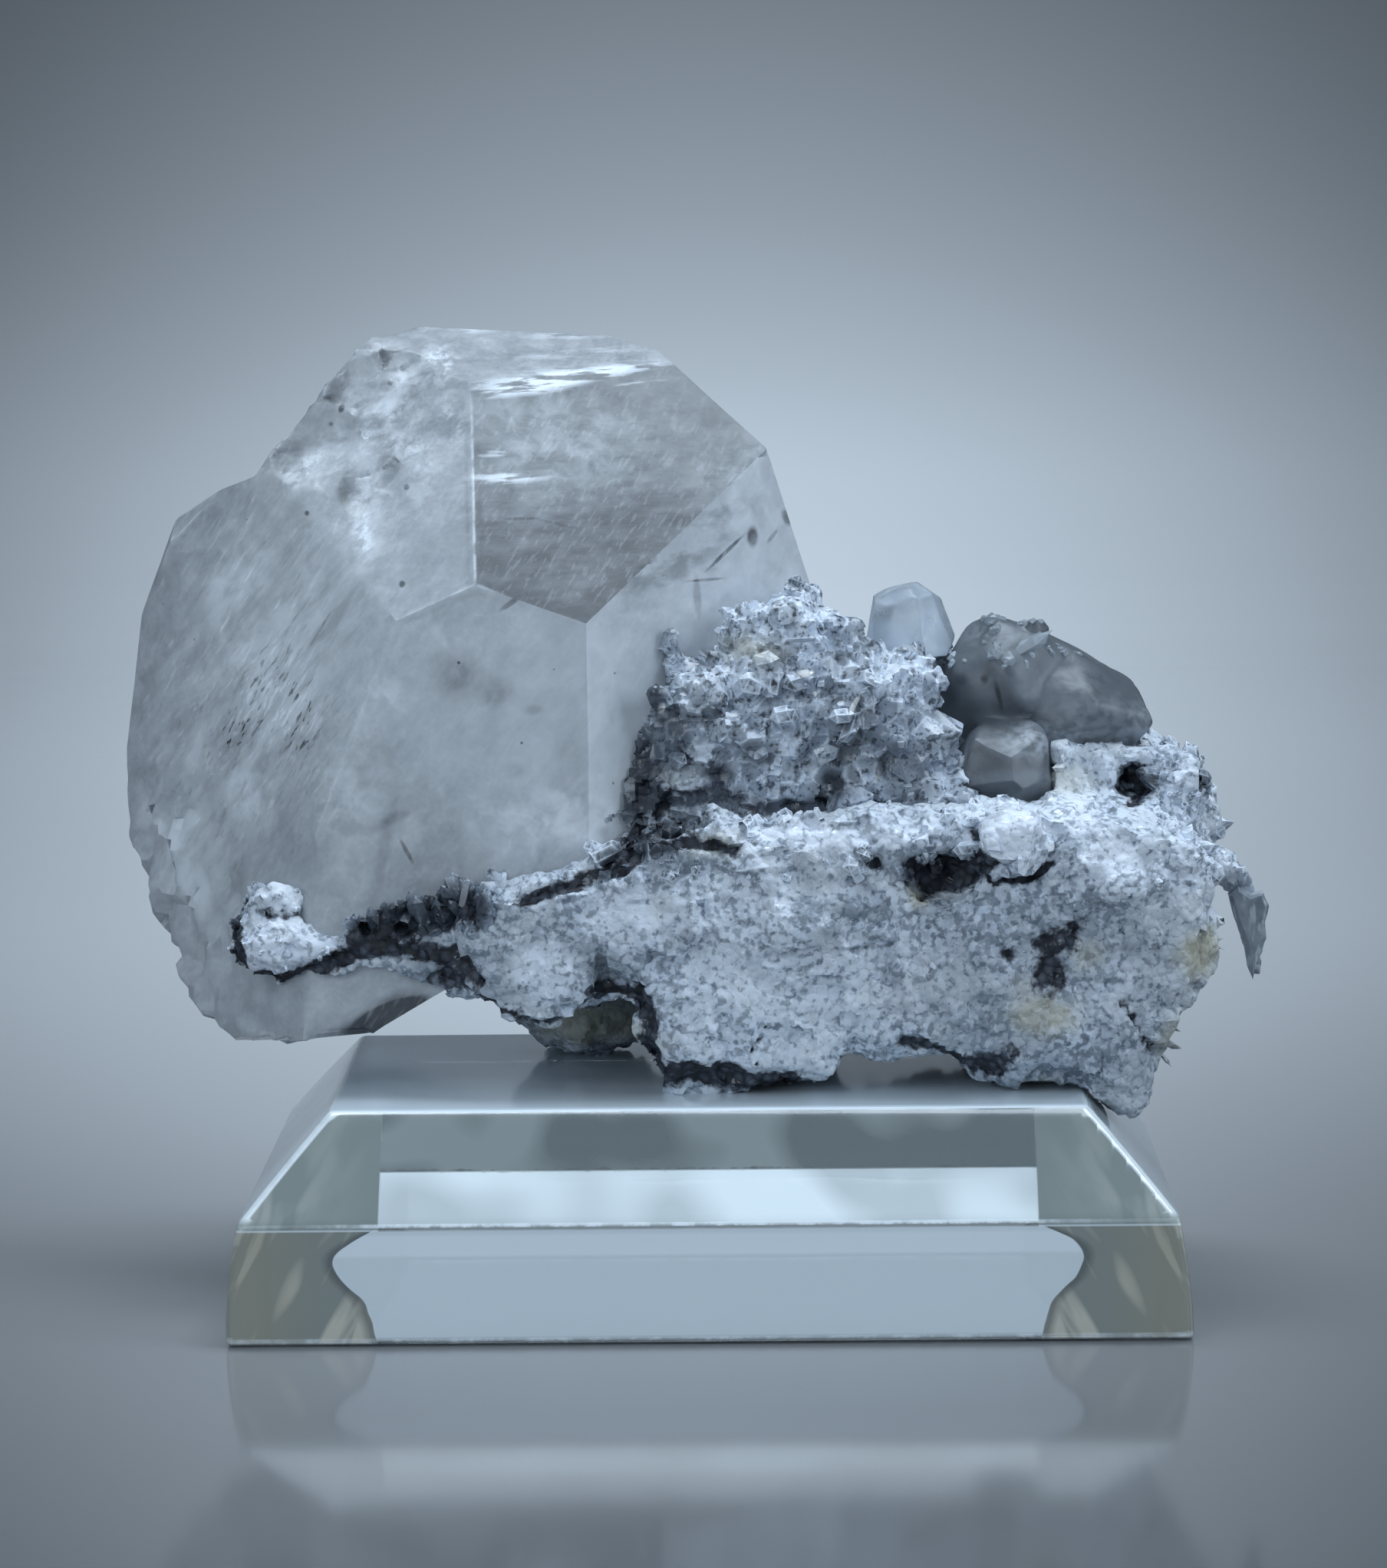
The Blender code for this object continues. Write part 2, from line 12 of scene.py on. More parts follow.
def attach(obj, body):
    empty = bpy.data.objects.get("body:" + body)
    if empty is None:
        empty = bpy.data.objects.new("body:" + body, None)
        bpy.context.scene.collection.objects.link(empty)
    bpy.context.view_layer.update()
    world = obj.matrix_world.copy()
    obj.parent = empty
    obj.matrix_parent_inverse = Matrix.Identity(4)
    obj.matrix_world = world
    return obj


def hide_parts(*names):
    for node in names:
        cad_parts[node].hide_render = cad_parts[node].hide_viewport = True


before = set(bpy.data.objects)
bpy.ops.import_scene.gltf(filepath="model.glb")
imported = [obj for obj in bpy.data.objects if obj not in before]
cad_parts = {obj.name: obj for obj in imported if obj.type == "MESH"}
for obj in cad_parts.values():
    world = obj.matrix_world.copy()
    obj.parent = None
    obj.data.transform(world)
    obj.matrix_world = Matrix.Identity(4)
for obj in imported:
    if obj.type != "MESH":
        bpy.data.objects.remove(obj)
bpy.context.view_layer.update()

MM = 0.001
# Points nearer than this are one point, in metres.
SAME_POINT = 0.000002
# Faces that meet at less than this are one flat face, in degrees.
FLAT_ANGLE = 0.4
# Beyond every point of the specimen, in millimetres.
FAR = 1e9

# Photograph's camera, in millimetres and degrees.
LENS = 142.57
FILM_HEIGHT = 36.0
CAMERA_PLACE = (7.03, -679.73, 128.39)
CAMERA_PITCH = 6.17
CAMERA_YAW = -0.722
CAMERA_ROLL = -0.586

# Half width and depth of the stand, and the heights of its shoulder and top, in millimetres.
STAND_HALF = (50.8, 38.1)
STAND_SHOULDER = 12.2
STAND_TOP = 23.2


# Modelling helpers


def only(made):
    """Make this the one selected and active object."""
    for other in bpy.context.selected_objects:
        other.select_set(False)
    made.select_set(True)
    bpy.context.view_layer.objects.active = made


def add_object(name, data):
    """A new object in the scene with this mesh, lamp or camera as its data."""
    made = bpy.data.objects.new(name, data)
    bpy.context.scene.collection.objects.link(made)
    return made


def edit(made):
    """Enter edit mode with the whole mesh selected."""
    only(made)
    bpy.ops.object.mode_set(mode="EDIT")
    bpy.ops.mesh.select_all(action="SELECT")


def leave_edit():
    bpy.ops.object.mode_set(mode="OBJECT")


def apply_modifier(made, kind, **settings):
    only(made)
    change = made.modifiers.new(kind.lower(), kind)
    for name, setting in settings.items():
        setattr(change, name, setting)
    bpy.ops.object.modifier_apply(modifier=change.name)


def copy_of(node, name, flat_faces=False):
    """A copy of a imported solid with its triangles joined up, and its flat faces whole again."""
    made = add_object(name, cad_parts[node].data.copy())
    made.data.materials.clear()
    edit(made)
    bpy.ops.mesh.remove_doubles(threshold=SAME_POINT)
    if flat_faces:
        bpy.ops.mesh.dissolve_limited(angle_limit=math.radians(FLAT_ANGLE))
    bpy.ops.mesh.normals_make_consistent(inside=False)
    leave_edit()
    return made


def slice_up(made, step):
    """Bisect the mesh by evenly spaced planes along X, Y and Z, so that flat faces can be shaped."""
    shape = bmesh.new()
    shape.from_mesh(made.data)
    corners = np.array([vertex.co for vertex in shape.verts])
    for axis in range(3):
        normal = Vector((0.0, 0.0, 0.0))
        normal[axis] = 1.0
        start = corners[:, axis].min() + 0.5 * step
        for place in np.arange(start, corners[:, axis].max(), step):
            parts = shape.verts[:] + shape.edges[:] + shape.faces[:]
            bmesh.ops.bisect_plane(
                shape, geom=parts, dist=SAME_POINT, plane_co=normal * float(place), plane_no=normal)
    shape.to_mesh(made.data)
    shape.free()


def points_of(made):
    """Vertex places in millimetres and unit normals, as arrays."""
    mesh = made.data
    count = len(mesh.vertices)
    places = np.empty(count * 3, np.float32)
    mesh.vertices.foreach_get("co", places)
    normals = np.empty(count * 3, np.float32)
    mesh.vertex_normals.foreach_get("vector", normals)
    return places.reshape(-1, 3).astype(np.float64) / MM, normals.reshape(-1, 3).astype(np.float64)


def move_points(made, places):
    made.data.vertices.foreach_set("co", (places * MM).astype(np.float32).ravel())
    made.data.update()


def paint(made, name, values):
    """Keep a number at each vertex for the finish to read."""
    layer = made.data.attributes.new(name, "FLOAT", "POINT")
    layer.data.foreach_set("value", np.asarray(values, np.float32))


def shade(made, angle=None):
    """Flat facets, or smooth ones that meet at more than this angle in degrees."""
    only(made)
    if angle is None:
        bpy.ops.object.shade_flat()
    else:
        bpy.ops.object.shade_smooth_by_angle(angle=math.radians(angle))


def bevel_and_slice(made, width, segments, angle, step):
    """Bevel the edges sharper than an angle, then slice the faces; returns the points."""
    apply_modifier(made, "BEVEL", width=width * MM, segments=segments, limit_method="ANGLE",
                   angle_limit=math.radians(angle))
    slice_up(made, step * MM)
    return points_of(made)


def soften(made, chosen, rounds):
    """Smooth the chosen points of the mesh towards their neighbours."""
    edit(made)
    bpy.ops.mesh.select_all(action="DESELECT")
    leave_edit()
    made.data.vertices.foreach_set("select", chosen)
    bpy.ops.object.mode_set(mode="EDIT")
    bpy.ops.mesh.vertices_smooth(factor=0.5, repeat=rounds)
    leave_edit()


def sharp_edges(made, degrees):
    """Ends of the edges between two faces that meet at more than this angle, in millimetres."""
    shape = bmesh.new()
    shape.from_mesh(made.data)
    ends = [[vertex.co[:] for vertex in edge.verts] for edge in shape.edges
            if len(edge.link_faces) == 2 and edge.calc_face_angle() > math.radians(degrees)]
    shape.free()
    return np.array(ends) / MM


def distance_to(places, ends):
    """How far each point is from the nearest of some straight edges."""
    near = np.full(len(places), FAR)
    for start, end in ends:
        along = end - start
        share = np.clip((places - start) @ along / (along @ along), 0.0, 1.0)
        near = np.minimum(near, np.linalg.norm(places - start - share[:, None] * along, axis=1))
    return near


# Grain maths, in millimetres


def chance(cells, salt):
    """A repeatable number from 0 to 1 for each whole-number cell."""
    mixed = (cells[:, 0] * 73856093) ^ (cells[:, 1] * 19349663) ^ (cells[:, 2] * 83492791) ^ (salt * 40503)
    mixed = ((mixed ^ (mixed >> 15)) * 668265263) & 0x7FFFFFFF
    mixed = ((mixed ^ (mixed >> 13)) * 374761393) & 0x7FFFFFFF
    mixed = mixed ^ (mixed >> 16)
    return (mixed & 0xFFFFFF) / float(0xFFFFFF)


def grains(places, size, salt):
    """For each point the grain it lies in: its cell, its centre and how far the next grain's seam is."""
    cell = np.floor(places / size).astype(np.int64)
    best = np.full(len(places), 9.0)
    second = np.full(len(places), 9.0)
    owner = np.zeros_like(cell)
    middle = np.zeros_like(places)
    for step in itertools.product((-1, 0, 1), repeat=3):
        other = cell + np.array(step)
        jitter = np.stack([chance(other, salt + k) for k in range(3)], axis=1)
        spot = (other + 0.1 + 0.8 * jitter) * size
        away = np.linalg.norm(places - spot, axis=1) / size
        nearer = away < best
        second = np.where(nearer, best, np.minimum(second, away))
        best = np.where(nearer, away, best)
        owner[nearer] = other[nearer]
        middle[nearer] = spot[nearer]
    return owner, middle, second - best


def facet_push(places, size, tilt, seam_depth, salt):
    """Height of a skin of grains: one tilted facet for each, with a groove at the seams."""
    owner, middle, seam = grains(places, size, salt)
    lean = np.stack([chance(owner, salt + 10 + k) for k in range(3)], axis=1) * 2.0 - 1.0
    height = np.einsum("ij,ij->i", places - middle, lean) * tilt
    height += (chance(owner, salt + 20) - 0.5) * size * 0.35
    groove = np.clip(1.0 - seam / 0.16, 0.0, 1.0)
    return height - groove * seam_depth, chance(owner, salt + 30), seam


def soft_noise(places, size, salt):
    """Smooth noise from 0 to 1, made from random numbers on a grid."""
    scaled = places / size
    cell = np.floor(scaled).astype(np.int64)
    part = scaled - cell
    part = part * part * (3.0 - 2.0 * part)
    total = np.zeros(len(places))
    for step in itertools.product((0, 1), repeat=3):
        weight = np.ones(len(places))
        for axis in range(3):
            weight *= part[:, axis] if step[axis] else 1.0 - part[:, axis]
        total += weight * chance(cell + np.array(step), salt)
    return total


def layered_noise(places, size, salt, layers=3):
    """Noise from 0 to 1 with finer layers at half the strength of the one before."""
    total = np.zeros(len(places))
    share = 0.0
    for layer in range(layers):
        weight = 0.5 ** layer
        total += weight * soft_noise(places, size * 0.5 ** layer, salt + 7 * layer)
        share += weight
    return total / share


def ripple(made, size, salt, depth):
    """Push a piece's points in and out by soft noise."""
    places, normals = points_of(made)
    height = (layered_noise(places, size, salt) - 0.5) * depth
    move_points(made, places + normals * height[:, None])


def blot(places, centre, radii, soft=0.5):
    """1 inside an ellipsoid, fading to 0 just outside it."""
    away = np.linalg.norm((places - np.array(centre)) / np.array(radii), axis=1)
    return np.clip((1.0 + soft - away) / (2.0 * soft), 0.0, 1.0)


def band(places, path, width, soft=0.5):
    """1 along a path of (X, Z) points on the viewer's side, fading to 0 at its width."""
    near = np.full(len(places), FAR)
    flat = places[:, (0, 2)]
    for start, end in zip(path, path[1:]):
        start = np.array(start)
        along = np.array(end) - start
        share = np.clip((flat - start) @ along / (along @ along), 0.0, 1.0)
        near = np.minimum(near, np.linalg.norm(flat - start - share[:, None] * along, axis=1))
    return np.clip((1.0 + soft - near / width) / (2.0 * soft), 0.0, 1.0)


# Finishes


class Signal:
    """A socket with a value on it; arithmetic adds Math nodes."""

    def __init__(self, finish, socket):
        self.finish = finish
        self.socket = socket

    def math(self, operation, *others):
        return self.finish.math(operation, self, *others)

    def __add__(self, other):
        return self.math("ADD", other)

    def __radd__(self, other):
        return self.finish.math("ADD", other, self)

    def __sub__(self, other):
        return self.math("SUBTRACT", other)

    def __rsub__(self, other):
        return self.finish.math("SUBTRACT", other, self)

    def __mul__(self, other):
        return self.math("MULTIPLY", other)

    def __rmul__(self, other):
        return self.finish.math("MULTIPLY", other, self)

    def __truediv__(self, other):
        return self.math("DIVIDE", other)

    def __pow__(self, other):
        return self.math("POWER", other)

    def clamp(self):
        """Keep the value between 0 and 1."""
        return self.finish.math("ADD", self, 0.0, use_clamp=True)

    def above(self, level, soft):
        """0 below the level and 1 above it, over a soft edge."""
        return self.finish.math("MULTIPLY", self - (level - soft), 0.5 / soft, use_clamp=True)

    def below(self, level, soft):
        return 1.0 - self.above(level, soft)


class Finish:
    """One material and the short ways to add nodes to it. Patterns are sized in millimetres."""

    def __init__(self, name):
        self.material = bpy.data.materials.new(name)
        self.material.use_nodes = True
        self.tree = self.material.node_tree
        self.shader = self.tree.nodes["Principled BSDF"]
        self.output = self.tree.nodes["Material Output"]
        raw = self.node("ShaderNodeTexCoord").outputs["Object"]
        scaled = self.node("ShaderNodeVectorMath", {0: raw, "Scale": 1.0 / MM}, operation="SCALE")
        self.place = scaled.outputs["Vector"]

    def node(self, kind, sockets=None, **settings):
        """A node of this type with its settings, and values or links for its sockets."""
        made = self.tree.nodes.new(kind)
        for name, setting in settings.items():
            setattr(made, name, setting)
        for name, value in (sockets or {}).items():
            self.feed(made.inputs[name], value)
        return made

    def feed(self, socket, value):
        if isinstance(value, Signal):
            value = value.socket
        if isinstance(value, bpy.types.NodeSocket):
            self.tree.links.new(value, socket)
        elif socket.type == "RGBA" and len(value) == 3:
            socket.default_value = (*value, 1.0)
        else:
            socket.default_value = value

    def math(self, operation, *values, use_clamp=False):
        sockets = dict(enumerate(values))
        made = self.node("ShaderNodeMath", sockets, operation=operation, use_clamp=use_clamp)
        return Signal(self, made.outputs["Value"])

    def turned(self, turn=(0.0, 0.0, 0.0), stretch=(1.0, 1.0, 1.0), shift=(0.0, 0.0, 0.0)):
        """The place, moved, turned by degrees and then scaled along the new axes."""
        moved = self.node("ShaderNodeVectorMath", {0: self.place, 1: shift}, operation="SUBTRACT")
        spun = self.node(
            "ShaderNodeVectorRotate",
            {"Vector": moved.outputs["Vector"], "Rotation": [math.radians(t) for t in turn]},
            rotation_type="EULER_XYZ")
        scaled = self.node(
            "ShaderNodeVectorMath", {0: spun.outputs["Vector"], 1: stretch}, operation="MULTIPLY")
        return scaled.outputs["Vector"]

    def parts(self, vector):
        """The three parts of a vector as signals."""
        made = self.node("ShaderNodeSeparateXYZ", {"Vector": vector})
        return [Signal(self, made.outputs[axis]) for axis in "XYZ"]

    def noise(self, size, detail=3.0, rough=0.55, place=None, distortion=0.0):
        made = self.node("ShaderNodeTexNoise", {
            "Vector": place or self.place, "Scale": 1.0 / size, "Detail": detail, "Roughness": rough,
            "Distortion": distortion})
        return Signal(self, made.outputs["Fac"])

    def attribute(self, name):
        """A number painted on the piece's points."""
        return Signal(self, self.node("ShaderNodeAttribute", attribute_name=name).outputs["Fac"])

    def patch(self, centre, radii, lean=0.0, soft=0.4):
        """1 inside an ellipsoid that leans to the viewer's right by some degrees, fading to 0 outside it."""
        if lean:
            scaled = self.turned((0.0, -lean, 0.0), [1.0 / radius for radius in radii], centre)
        else:
            moved = self.node("ShaderNodeVectorMath", {0: self.place, 1: centre}, operation="SUBTRACT")
            scaled = self.node(
                "ShaderNodeVectorMath", {0: moved.outputs["Vector"], 1: radii}, operation="DIVIDE")
            scaled = scaled.outputs["Vector"]
        away = self.node("ShaderNodeVectorMath", {0: scaled}, operation="LENGTH")
        return Signal(self, away.outputs["Value"]).below(1.0, soft)

    def patches(self, marks, soft=0.5):
        """Several patches together, each as a centre, radii, lean and strength."""
        parts = [self.patch(centre, radii, lean, soft) * strength for centre, radii, lean, strength in marks]
        return sum(parts[1:], parts[0]).clamp()

    def flecks(self, size, radius, share):
        """Dots, one in some of the cells of a grid."""
        cell = self.node("ShaderNodeTexVoronoi", {"Vector": self.place, "Scale": 1.0 / size})
        pick = self.parts(cell.outputs["Color"])[0]
        return Signal(self, cell.outputs["Distance"]).below(radius, 0.3 * radius) * pick.below(share, 0.02)

    def mix(self, factor, first, second):
        """Colour between two colours."""
        made = self.node("ShaderNodeMix", data_type="RGBA")
        self.feed(made.inputs["Factor"], factor)
        self.feed(made.inputs[6], first)
        self.feed(made.inputs[7], second)
        return made.outputs[2]

    def bump(self, height, depth, strength=1.0):
        """Relief of this depth in millimetres."""
        made = self.node("ShaderNodeBump", {"Height": height, "Distance": depth * MM, "Strength": strength})
        return made.outputs["Normal"]

    def set(self, shader=None, **sockets):
        """Feed the sockets of a Principled shader, the finish's own if none is given."""
        for name, value in sockets.items():
            self.feed((shader or self.shader).inputs[name.replace("_", " ")], value)

    def add_shader(self, **sockets):
        made = self.node("ShaderNodeBsdfPrincipled")
        self.set(made, **sockets)
        return made

    def blend_shaders(self, factor, first, second):
        """Let the surface be the first shader at 0 and the second at 1."""
        made = self.node("ShaderNodeMixShader")
        self.feed(made.inputs[0], factor)
        self.tree.links.new(first.outputs[0], made.inputs[1])
        self.tree.links.new(second.outputs[0], made.inputs[2])
        self.tree.links.new(made.outputs[0], self.output.inputs["Surface"])

    def absorb(self, colour, per_metre):
        made = self.node("ShaderNodeVolumeAbsorption", {"Color": colour, "Density": per_metre})
        self.tree.links.new(made.outputs["Volume"], self.output.inputs["Volume"])


# Marks in the large crystal: centre, radii, lean in degrees, strength.
CALCITE_CLOUDS = (
    ((-26.8, -12.5, 68.3), (2.2, 4.0, 2.3), 0.0, 0.75),
    ((-22.6, -12.8, 66.4), (1.7, 4.0, 1.5), 0.0, 0.6),
    ((-18.6, -13.2, 64.5), (1.0, 4.0, 0.5), 0.0, 0.5),
    ((-20.7, -13.8, 58.1), (1.1, 4.0, 0.8), 0.0, 0.4),
    ((-14.8, -13.9, 58.5), (1.5, 4.0, 6.0), 4.0, 0.35),
    ((-34.9, -14.0, 49.6), (0.7, 4.0, 5.0), 12.0, 0.6),
    ((-33.6, -14.0, 53.0), (2.2, 4.0, 0.6), -25.0, 0.5),
    ((-12.0, -2.0, 82.0), (14.0, 14.0, 8.0), 0.0, 0.42),
    ((-50.0, -3.0, 52.0), (7.0, 9.0, 8.0), 20.0, 0.3),
    ((-43.0, -7.0, 72.0), (3.0, 6.0, 9.0), 30.0, 0.22),
)
CALCITE_NEEDLE_ZONES = (
    ((-48.6, -1.6, 67.4), (3.0, 6.0, 4.4), 25.0, 1.0),
    ((-46.4, -4.0, 63.6), (3.6, 6.0, 3.4), 0.0, 0.95),
    ((-54.6, 0.0, 59.6), (1.6, 6.0, 3.6), 30.0, 1.0),
    ((-51.6, 0.0, 60.6), (1.3, 6.0, 3.2), 20.0, 1.0),
    ((-57.0, 3.0, 64.0), (1.8, 6.0, 1.2), 0.0, 0.9),
    ((-43.5, -6.6, 62.0), (2.0, 6.0, 7.0), 0.0, 0.7),
)
CALCITE_STONES = (
    ((-60.0, 1.4, 50.6), (0.9, 3.0, 1.2), 30.0, 1.0),
    ((-58.2, -0.3, 49.4), (0.5, 3.0, 0.8), -25.0, 1.0),
    ((5.2, 5.8, 81.7), (0.6, 3.0, 1.1), 0.0, 1.0),
    ((2.2, 2.6, 80.2), (3.4, 3.0, 0.22), -41.0, 0.85),
    ((0.2, 0.2, 77.4), (2.6, 3.0, 0.16), 0.0, 0.6),
    ((-0.9, -0.7, 75.6), (0.42, 3.0, 2.3), -4.0, 0.45),
    ((9.0, 9.6, 83.6), (0.5, 3.0, 1.0), -20.0, 0.9),
    ((7.4, 8.2, 81.6), (0.9, 3.0, 0.24), -50.0, 0.8),
    ((-20.9, -12.4, 76.0), (1.4, 3.0, 0.3), -35.0, 0.8),
    ((-19.9, -4.3, 84.6), (1.7, 3.0, 0.16), 0.0, 0.8),
    ((-16.2, -4.0, 84.0), (2.2, 3.0, 0.14), 14.0, 0.55),
    ((-32.4, -14.3, 49.4), (0.24, 3.0, 1.4), -28.0, 0.9),
    ((-40.4, 10.3, 96.1), (0.35, 2.0, 0.55), 20.0, 1.0),
    ((-41.6, 9.2, 94.4), (0.32, 2.0, 0.32), 0.0, 1.0),
    ((-35.0, 10.6, 98.8), (0.32, 2.0, 0.3), 0.0, 0.9),
    ((-43.8, 1.7, 85.0), (0.3, 2.0, 0.3), 0.0, 1.0),
    ((-32.7, 0.2, 87.9), (0.32, 2.0, 0.32), 0.0, 1.0),
    ((-32.8, -8.6, 77.9), (0.35, 2.0, 0.35), 0.0, 1.0),
)
CALCITE_VEILS = (
    ((-50.8, -4.0, 54.8), (3.4, 5.0, 2.6), 20.0, 0.6),
    ((-58.7, 4.0, 45.6), (2.2, 6.0, 4.8), -35.0, 0.7),
    ((-38.0, -13.6, 54.0), (2.6, 4.0, 5.6), 12.0, 0.4),
    ((-16.6, -14.4, 52.4), (6.4, 5.0, 3.6), -12.0, 0.75),
    ((-34.7, -12.5, 65.9), (2.2, 4.0, 1.5), 25.0, 0.6),
    ((-26.0, -12.0, 73.0), (6.0, 5.0, 3.0), 0.0, 0.25),
    ((-17.0, 4.0, 92.0), (9.0, 9.0, 7.0), 10.0, 0.35),
    ((5.0, 6.0, 88.0), (5.0, 6.0, 6.0), 40.0, 0.3),
    ((-52.0, 3.0, 78.0), (7.0, 8.0, 8.0), 30.0, 0.2),
    ((-35.5, 6.0, 97.0), (2.0, 8.0, 8.6), 42.0, 0.65),
    ((-37.2, 0.0, 87.0), (1.5, 8.0, 7.0), -4.0, 0.6),
    ((-32.0, 2.0, 90.0), (1.4, 8.0, 6.0), -24.0, 0.45),
)
CALCITE_CRUMBS = (
    ((-29.6, 12.0, 101.8), (1.7, 4.0, 3.8), -8.0, 1.0),
    ((-36.6, 6.0, 94.0), (5.6, 6.0, 1.2), -40.0, 0.4),
    ((-35.4, 2.0, 91.0), (1.6, 5.0, 3.0), 20.0, 0.6),
    ((-31.4, 4.0, 91.0), (1.6, 5.0, 4.0), -30.0, 0.55),
    ((-37.4, -2.0, 82.4), (1.0, 5.0, 2.6), -15.0, 1.0),
    ((-44.6, 6.6, 89.6), (2.8, 6.0, 0.6), -40.0, 0.5),
    ((-27.6, 5.0, 94.6), (1.2, 5.0, 4.0), -26.0, 0.5),
)
CALCITE_GLINTS = (
    ((-15.0, 10.6, 99.5), (10.5, 6.0, 0.75), -6.0, 1.0),
    ((-19.4, 9.0, 98.2), (5.2, 6.0, 0.6), -6.0, 0.8),
    ((-8.0, 14.0, 98.4), (3.0, 6.0, 0.3), -8.0, 0.5),
    ((-21.5, -0.8, 88.9), (3.6, 6.0, 0.5), 0.0, 0.7),
    ((-23.4, 0.0, 91.4), (1.4, 6.0, 0.3), 0.0, 0.6),
    ((-26.2, 13.0, 104.4), (3.2, 8.0, 0.5), 0.0, 1.0),
    ((-16.0, 15.0, 103.6), (4.0, 8.0, 0.4), 0.0, 0.6),
    ((-14.0, 14.0, 101.8), (7.0, 8.0, 0.35), -4.0, 0.35),
)
# Where painted highlights run along the crystal's edges, with a darker line beside them: centre, radii, lean,
# strength.
CALCITE_EDGE_HIGHLIGHTS = (
    ((-38.2, -11.6, 61.0), (3.4, 6.0, 12.5), 13.0, 0.35),
    ((-28.4, -11.4, 74.6), (6.6, 6.0, 3.6), -29.0, 0.7),
    ((-25.2, -4.0, 86.0), (2.2, 16.0, 12.0), 0.0, 1.0),
    ((-59.5, 12.0, 83.0), (4.0, 10.0, 4.0), 0.0, 0.7),
)
# The painted shade at the crystal's dark foot, and the parts that are paler or dimmer than the rest.
CALCITE_FOOT_SHADE = (
    ((-35.6, -16.0, 31.2), (5.4, 8.0, 1.1), -20.0, 1.0),
    ((-34.0, -16.0, 32.2), (3.4, 8.0, 1.5), -26.0, 0.9),
)
CALCITE_PALE = (
    ((-16.0, -13.0, 66.0), (5.0, 8.0, 12.0), 6.0, 0.7),
    ((-26.0, -12.0, 63.0), (7.0, 6.0, 7.0), 0.0, 0.5),
    ((-36.0, -12.0, 52.0), (4.0, 6.0, 7.0), 12.0, 0.4),
    ((-52.0, 0.0, 66.0), (11.0, 16.0, 20.0), 22.0, 1.0),
    ((-51.0, -4.0, 45.0), (12.0, 12.0, 9.0), 0.0, 0.5),
)
CALCITE_DIM = (
    ((-24.0, -14.0, 47.0), (8.0, 6.0, 5.0), 0.0, 0.3),
    ((-29.0, -4.0, 79.0), (6.0, 12.0, 5.0), 0.0, 0.35),
)
# The streaky left end, the layered upper right part and the break: centre, radii, lean, softness.
CALCITE_LEFT = ((-52.0, 0.0, 66.0), (14.0, 20.0, 24.0), 20.0, 0.4)
CALCITE_UPPER = ((-11.0, 2.0, 86.0), (16.0, 20.0, 13.0), 0.0, 0.2)
CALCITE_BREAK = ((-36.0, 4.0, 92.0), (9.0, 16.0, 12.0), 0.0, 0.3)
# Outward directions of the upper right face, greyer with painted shade, and the right face, the palest with
# painted light.
SHADED_FACE = (0.18, -0.73, 0.66)
LIT_FACE = (0.69, -0.72, 0.08)


